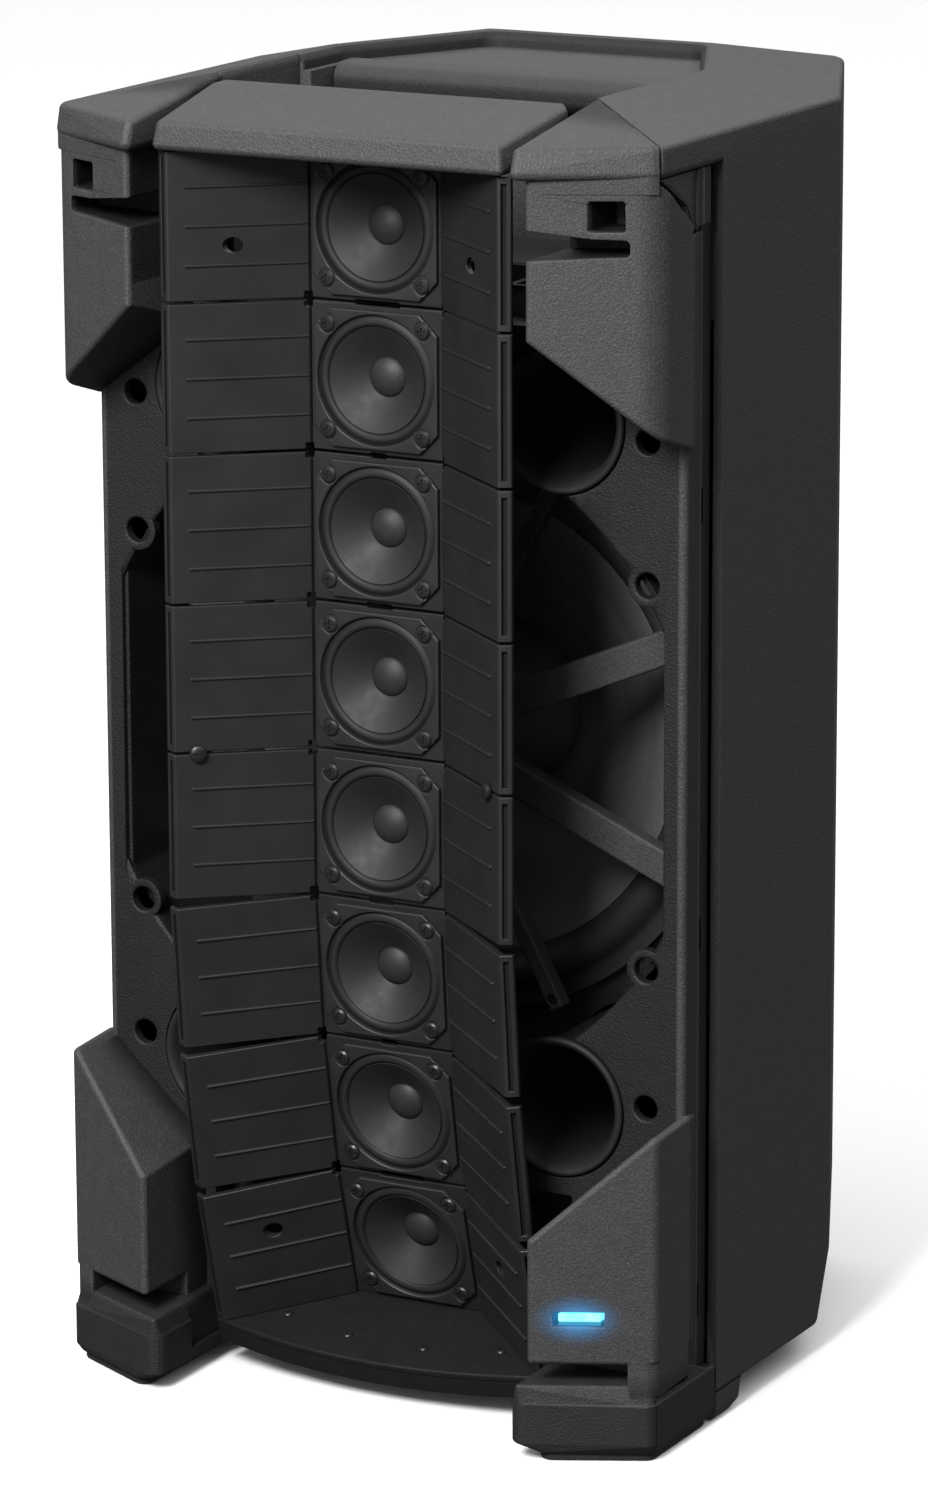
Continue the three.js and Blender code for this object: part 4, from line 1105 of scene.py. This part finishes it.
# ------------------------------------------------------------------ rear panel and controls
panel = prism("y", fillet(square(-85.5, 85.5, 90.5, 469.5), 6.5), 292, 296)
cut(panel, prism("y", fillet(square(-16, 16, 122, 146), 1.5), 280, 300), prism("y", fillet(square(22, 40, 120, 148), 1.5), 280, 300),
    rod("y", 3.6, 280, 300, (40, 380), 32), rod("y", 12.1, 280, 300, (-40, 420), 64), rod("y", 12.1, 280, 300, (-40, 370), 64),
    rod("y", 3.4, 280, 300, (10, 420), 32), rod("y", 3.4, 280, 300, (10, 370), 32))
# shallow pressed field round each group of controls
for x0, x1, z0, z1 in ((-62, 62, 346, 446), (-48, 56, 108, 158)):
    ring_ = prism("y", fillet(square(x0, x1, z0, z1), 5), 295.4, 297)
    cut(ring_, prism("y", fillet(square(x0 + 0.9, x1 - 0.9, z0 + 0.9, z1 - 0.9), 4.4), 295, 298))
    cut(panel, ring_)
use(soften(panel, 0.35, 2, 45), METAL, "cabinet", "rear_panel_plate", ["amplifier_panel"], angle=30)
n_ = 0
for x, z in [(sx * 79, z) for sx in (-1, 1) for z in (98, 190, 280, 370, 462)] + [(0, 98), (0, 462)]:
    n_ += 1
    screw((x, 296.1, z), 3.3, 1.6, "cabinet", "panel_screw_%d" % n_, (0, 1, 0), kind="star")
sink = prism("y", fillet(square(-70, 70, 165, 335), 2), 296.3, 298.6)
for k in range(12):
    x = -66.75 + k * 12
    fin = prism("z", fillet([(x - 1.3, 298), (x + 1.3, 298), (x + 0.8, 301.8), (x - 0.8, 301.8)], [0, 0, 0.6, 0.6], 3), 165, 335)
    add(sink, fin)
use(soften(sink, 0.3, 1, 45), METAL, "cabinet", "heat_sink_fins", ["heat_sink"], angle=30)
for k, (x, z) in enumerate(((-60.7, 172), (60.7, 172), (-60.7, 328), (60.7, 328))):
    screw((x, 298.7, z), 2.6, 1.4, "cabinet", "sink_screw_%d" % (k + 1), (0, 1, 0))
for k, z in ((1, 420), (2, 370)):
    jack = lathe([(7.6, 270), (11.7, 270), (11.7, 297.0), (11.2, 297.8), (9.0, 297.8), (8.2, 296.9), (7.6, 294)], (-40, z), "y", 72)
    use(jack, SOCK, "cabinet", "signal_socket_%d" % k, ["input_jack_%d" % k], angle=40, weighted=False)
    inner = rod("y", 7.3, 271, 286, (-40, z), 56)
    cut(inner, lathe([(0, 278), (2.9, 278), (2.9, 285.4), (3.3, 288), (0, 288)], (-40, z), "y", 32), *[rod("y", 0.9, 280, 288, (-40 + 5.0 * math.cos(t), z + 5.0 * math.sin(t)), 16) for t in (0.6, 2.54, 4.71)])
    use(soften(inner, 0.2, 1, 50), HOLE, "cabinet", "signal_socket_core_%d" % k, angle=40, weighted=False)
    kn = [(0, 288), (3, 288), (3, 296.6), (8.7, 296.6), (9.0, 297.0), (8.4, 301.0), (7.8, 301.6), (6.9, 301.8), (0, 301.7)]
    knob = lathe(kn, (10, z), "y", 72)
    for t in range(18):
        a = 2 * math.pi * t / 18 + 0.17
        cut(knob, rod("y", 0.55, 297.6, 303, (10 + 8.9 * math.cos(a), z + 8.9 * math.sin(a)), 10))
    cut(knob, prism("y", fillet(square(9.4, 10.6, z + 1.5, z + 8.9), 0.3, 2), 301.2, 303))
    use(knob, SOCK, "knob_%d" % k, "level_knob_cap_%d" % k, ["level_knob_%d" % k], angle=35, weighted=False)
    MARK = painted("pointer_paint", (0.72, 0.72, 0.70), 0.5)
    mk = prism("y", fillet(square(9.55, 10.45, z + 1.9, z + 8.2), 0.25, 2), 301.0, 301.45)
    use(mk, MARK, "knob_%d" % k, "level_knob_pointer_%d" % k, angle=30, weighted=False)
inlet = prism("y", fillet([(-15.7, 122.3), (15.7, 122.3), (15.7, 145.7), (-15.7, 145.7)], 1.3), 266, 297.5)
bevel(inlet, 0.7, 2, 50, where=lambda x, y, z, d: y > 297)
cut(inlet, prism("y", fillet([(-12, 125), (12, 125), (12, 137.5), (6.8, 143), (-6.8, 143), (-12, 137.5)], 1.4), 274, 300))
use(inlet, SOCK, "cabinet", "power_inlet_shell", ["power_inlet"], angle=35)
for k, (x, z) in enumerate(((-6.5, 131.5), (0, 136), (6.5, 131.5))):
    pin = prism("y", fillet(square(x - 1, x + 1, z - 2, z + 2), 0.4, 2), 273.9, 291)
    bevel(pin, 0.35, 2, 40, where=lambda x_, y, z_, d: y > 290)
    use(pin, ZINC, "cabinet", "inlet_pin_%d" % (k + 1), angle=30, weighted=False)
# rocker: drawn level about its pivot (y 291, z 134), rests 7 degrees on
sw = prism("x", fillet([(-3 + 291, -6 + 134), (5.2 + 291, -12.2 + 134), (9 + 291, -12 + 134), (6.6 + 291, 134), (9 + 291, 12 + 134), (5.2 + 291, 12.2 + 134), (-3 + 291, 6 + 134)], [0, 0.6, 1.0, 6, 1.0, 0.6, 0], 5), 23, 39)
bevel(sw, 0.4, 2, 50)
cut(sw, prism("x", [(298.6, 141.0), (301, 141.0), (301, 141.6), (298.6, 141.6)], 26, 36), prism("x", [(298.6, 143.0), (301, 143.0), (301, 143.6), (298.6, 143.6)], 26, 36))
sw.data.transform(Matrix.Translation(Vector(P((0, 291, 134)))) @ Matrix.Rotation(math.radians(-7), 4, "X") @ Matrix.Translation(-Vector(P((0, 291, 134)))))
use(sw, SOCK, "switch", "power_rocker", ["power_switch"], angle=40)
btn = lathe([(0, 288), (3.2, 288), (3.2, 298.7), (3.0, 299.2), (2.5, 299.5), (1.7, 299.35), (0, 299.2)], (40, 380), "y", 40)
use(btn, SOCK, "button", "preset_key", ["preset_button"], angle=40, weighted=False)
for k, z in ((1, 420), (2, 370)):
    # raised dots of a plain scale round each knob
    dots = []
    for t in range(11):
        a = math.radians(225 - 27 * t)
        dots.append(lathe([(0, 295.7), (0.55, 295.7), (0.5, 296.25), (0.3, 296.4), (0, 296.42)], (10 + 13.2 * math.cos(a), z + 13.2 * math.sin(a)), "y", 14))
    use(join(dots, "dots"), MARK, "cabinet", "knob_scale_%d" % k, angle=40, weighted=False)

# ------------------------------------------------------------------ feet and pole cup
for s, tag in ((-1, "left"), (1, "right")):
    pad = prism("z", side(s, fillet([(112, -58), (HALF_W - 3, -31.5), (HALF_W - 3, 30), (112, 30)], 6, 5)), 0, 3.7)
    bevel(pad, 0.8, 2, 50, where=lambda x, y, z, d: z < 1)
    cut(pad, *[box(*sorted((s * 100, s * 170)), y - 0.7, y + 0.7, -1, 0.7) for y in (-20, -8, 4, 16)])
    use(pad, RUB, "cabinet", "foot_pad_front_" + tag, ["rubber_foot_front_" + tag], angle=30)
    rp = hull(side(s, [(x, y, 0) for x, y in fillet([(128, 190), (140, 190), (116, 240), (84, 266), (70, 266), (70, 250)], 3, 4)]) +
              side(s, [(x, y, 14.7) for x, y in fillet([(126, 186), (145, 186), (119, 242), (86, 270), (66, 270), (66, 248)], 3, 4)]))
    bevel(rp, 1.2, 2, 40, where=lambda x, y, z, d: z < 1)
    use(rp, RUB, "cabinet", "foot_pad_rear_" + tag, ["rubber_foot_rear_" + tag], angle=30)
    sf = hull(side(s, [(x, y, 14.7) for x, y in fillet([(112, 33.6), (HALF_W - 0.2, 33.6), (HALF_W - 0.2, 66), (112, 66)], [0, 0, 5, 5], 4)]) +
              side(s, [(x, y, 5) for x, y in fillet([(112, 33.6), (HALF_W - 0.2, 33.6), (HALF_W - 0.2, 63), (112, 63)], [0, 0, 5, 5], 4)]) +
              side(s, [(x, y, 0) for x, y in fillet([(114, 33.6), (HALF_W - 3, 33.6), (HALF_W - 3, 57), (114, 57)], [0, 0, 5, 5], 4)]))
    bevel(sf, 1.4, 3, 20, where=lambda x, y, z, d: z < 13)
    use(sf, CAB, "cabinet", "side_foot_shell_" + tag, ["side_foot_" + tag], angle=40)
cup = lathe([(17.8, 15.9), (18.4, 15.2), (20.9, 15.2), (21.2, 15.6), (21.2, 94.2), (20.6, 95), (0, 95), (0, 91), (17.0, 91), (17.8, 90.2)], (0, 110), "z", 72)
use(cup, SOCK, "cabinet", "pole_cup", ["pole_socket"], angle=40, weighted=False)

bpy.data.objects.remove(cap)
bpy.data.objects.remove(cap_raw)

# carried-over CAD nodes get worked materials
CARD = {"woofer_basket": METAL, "woofer_magnet": METAL, "amplifier_board": GREEN}
for node_name, material in CARD.items():
    o = bpy.data.objects[node_name]
    for sl in o.material_slots:
        sl.material = material
    if not o.material_slots:
        o.data.materials.append(material)

# ------------------------------------------------------------------ floor, camera, light
me = bpy.data.meshes.new("floor")
R_ = 14.0
me.from_pydata([(-R_, -R_, -0.0004), (R_, -R_, -0.0004), (R_, R_, -0.0004), (-R_, R_, -0.0004)], [], [(0, 1, 2, 3)])
floor = obj_of(me, "floor")
fm = Mat("floor_paper", (0.97, 0.97, 0.97), 0.9, spec=0.2)
fn = fm.noise(3, 3.0, 0.5)
fm.link(fm.mix(fm.ramp(fn, 0.3, 0.7), (0.965, 0.965, 0.965), (0.975, 0.975, 0.975)), fm.b.inputs["Base Color"])
me.materials.append(fm.m)
floor.visible_diffuse = False
floor.visible_glossy = False

pos = Vector((1.4618, -2.7253, 1.0749))
target = Vector((0.0432, -0.1155, 0.3408))
roll = math.radians(-0.2163)
back = (pos - target).normalized()
right = Vector((0, 0, 1)).cross(back).normalized()
up = back.cross(right)
r2 = right * math.cos(roll) + up * math.sin(roll)
u2 = -right * math.sin(roll) + up * math.cos(roll)
cd = bpy.data.cameras.new("camera")
cd.sensor_width = 36
cd.sensor_height = 36
cd.sensor_fit = "AUTO"
cd.lens = 148.66
cam = bpy.data.objects.new("camera", cd)
SCN.collection.objects.link(cam)
cam.matrix_world = Matrix(((r2.x, u2.x, back.x, pos.x), (r2.y, u2.y, back.y, pos.y), (r2.z, u2.z, back.z, pos.z), (0, 0, 0, 1)))
cd.clip_end = 60
SCN.camera = cam


def softbox(name, loc, aim, size, power, colour=(1, 1, 1), size_y=None):
    d = bpy.data.lights.new(name, "AREA")
    d.energy = power
    d.color = colour
    if size_y:
        d.shape = "RECTANGLE"
        d.size_y = size_y
    d.size = size
    o = bpy.data.objects.new(name, d)
    SCN.collection.objects.link(o)
    o.location = loc
    o.rotation_mode = "QUATERNION"
    o.rotation_quaternion = (Vector(aim) - Vector(loc)).to_track_quat("-Z", "Y")
    o.visible_camera = False
    return o


softbox("ceiling", (-1.0, 2.6, 5.0), (-1.0, 2.6, 0.0), 16, 940)
softbox("key", (0.12, -2.1, 1.8), (0.0, -0.15, 0.55), 0.8, 98)
softbox("front_fill", (0.7, -3.6, 1.2), (0, 0, 0.35), 1.8, 20)
softbox("rear_top", (0.7, 2.2, 2.4), (0, 0, 0.65), 1.2, 12)
world = bpy.data.worlds.new("studio")
world.use_nodes = True
world.node_tree.nodes["Background"].inputs["Color"].default_value = (1, 1, 1, 1)
world.node_tree.nodes["Background"].inputs["Strength"].default_value = 0.14
SCN.world = world
SCN.view_settings.view_transform = "Standard"
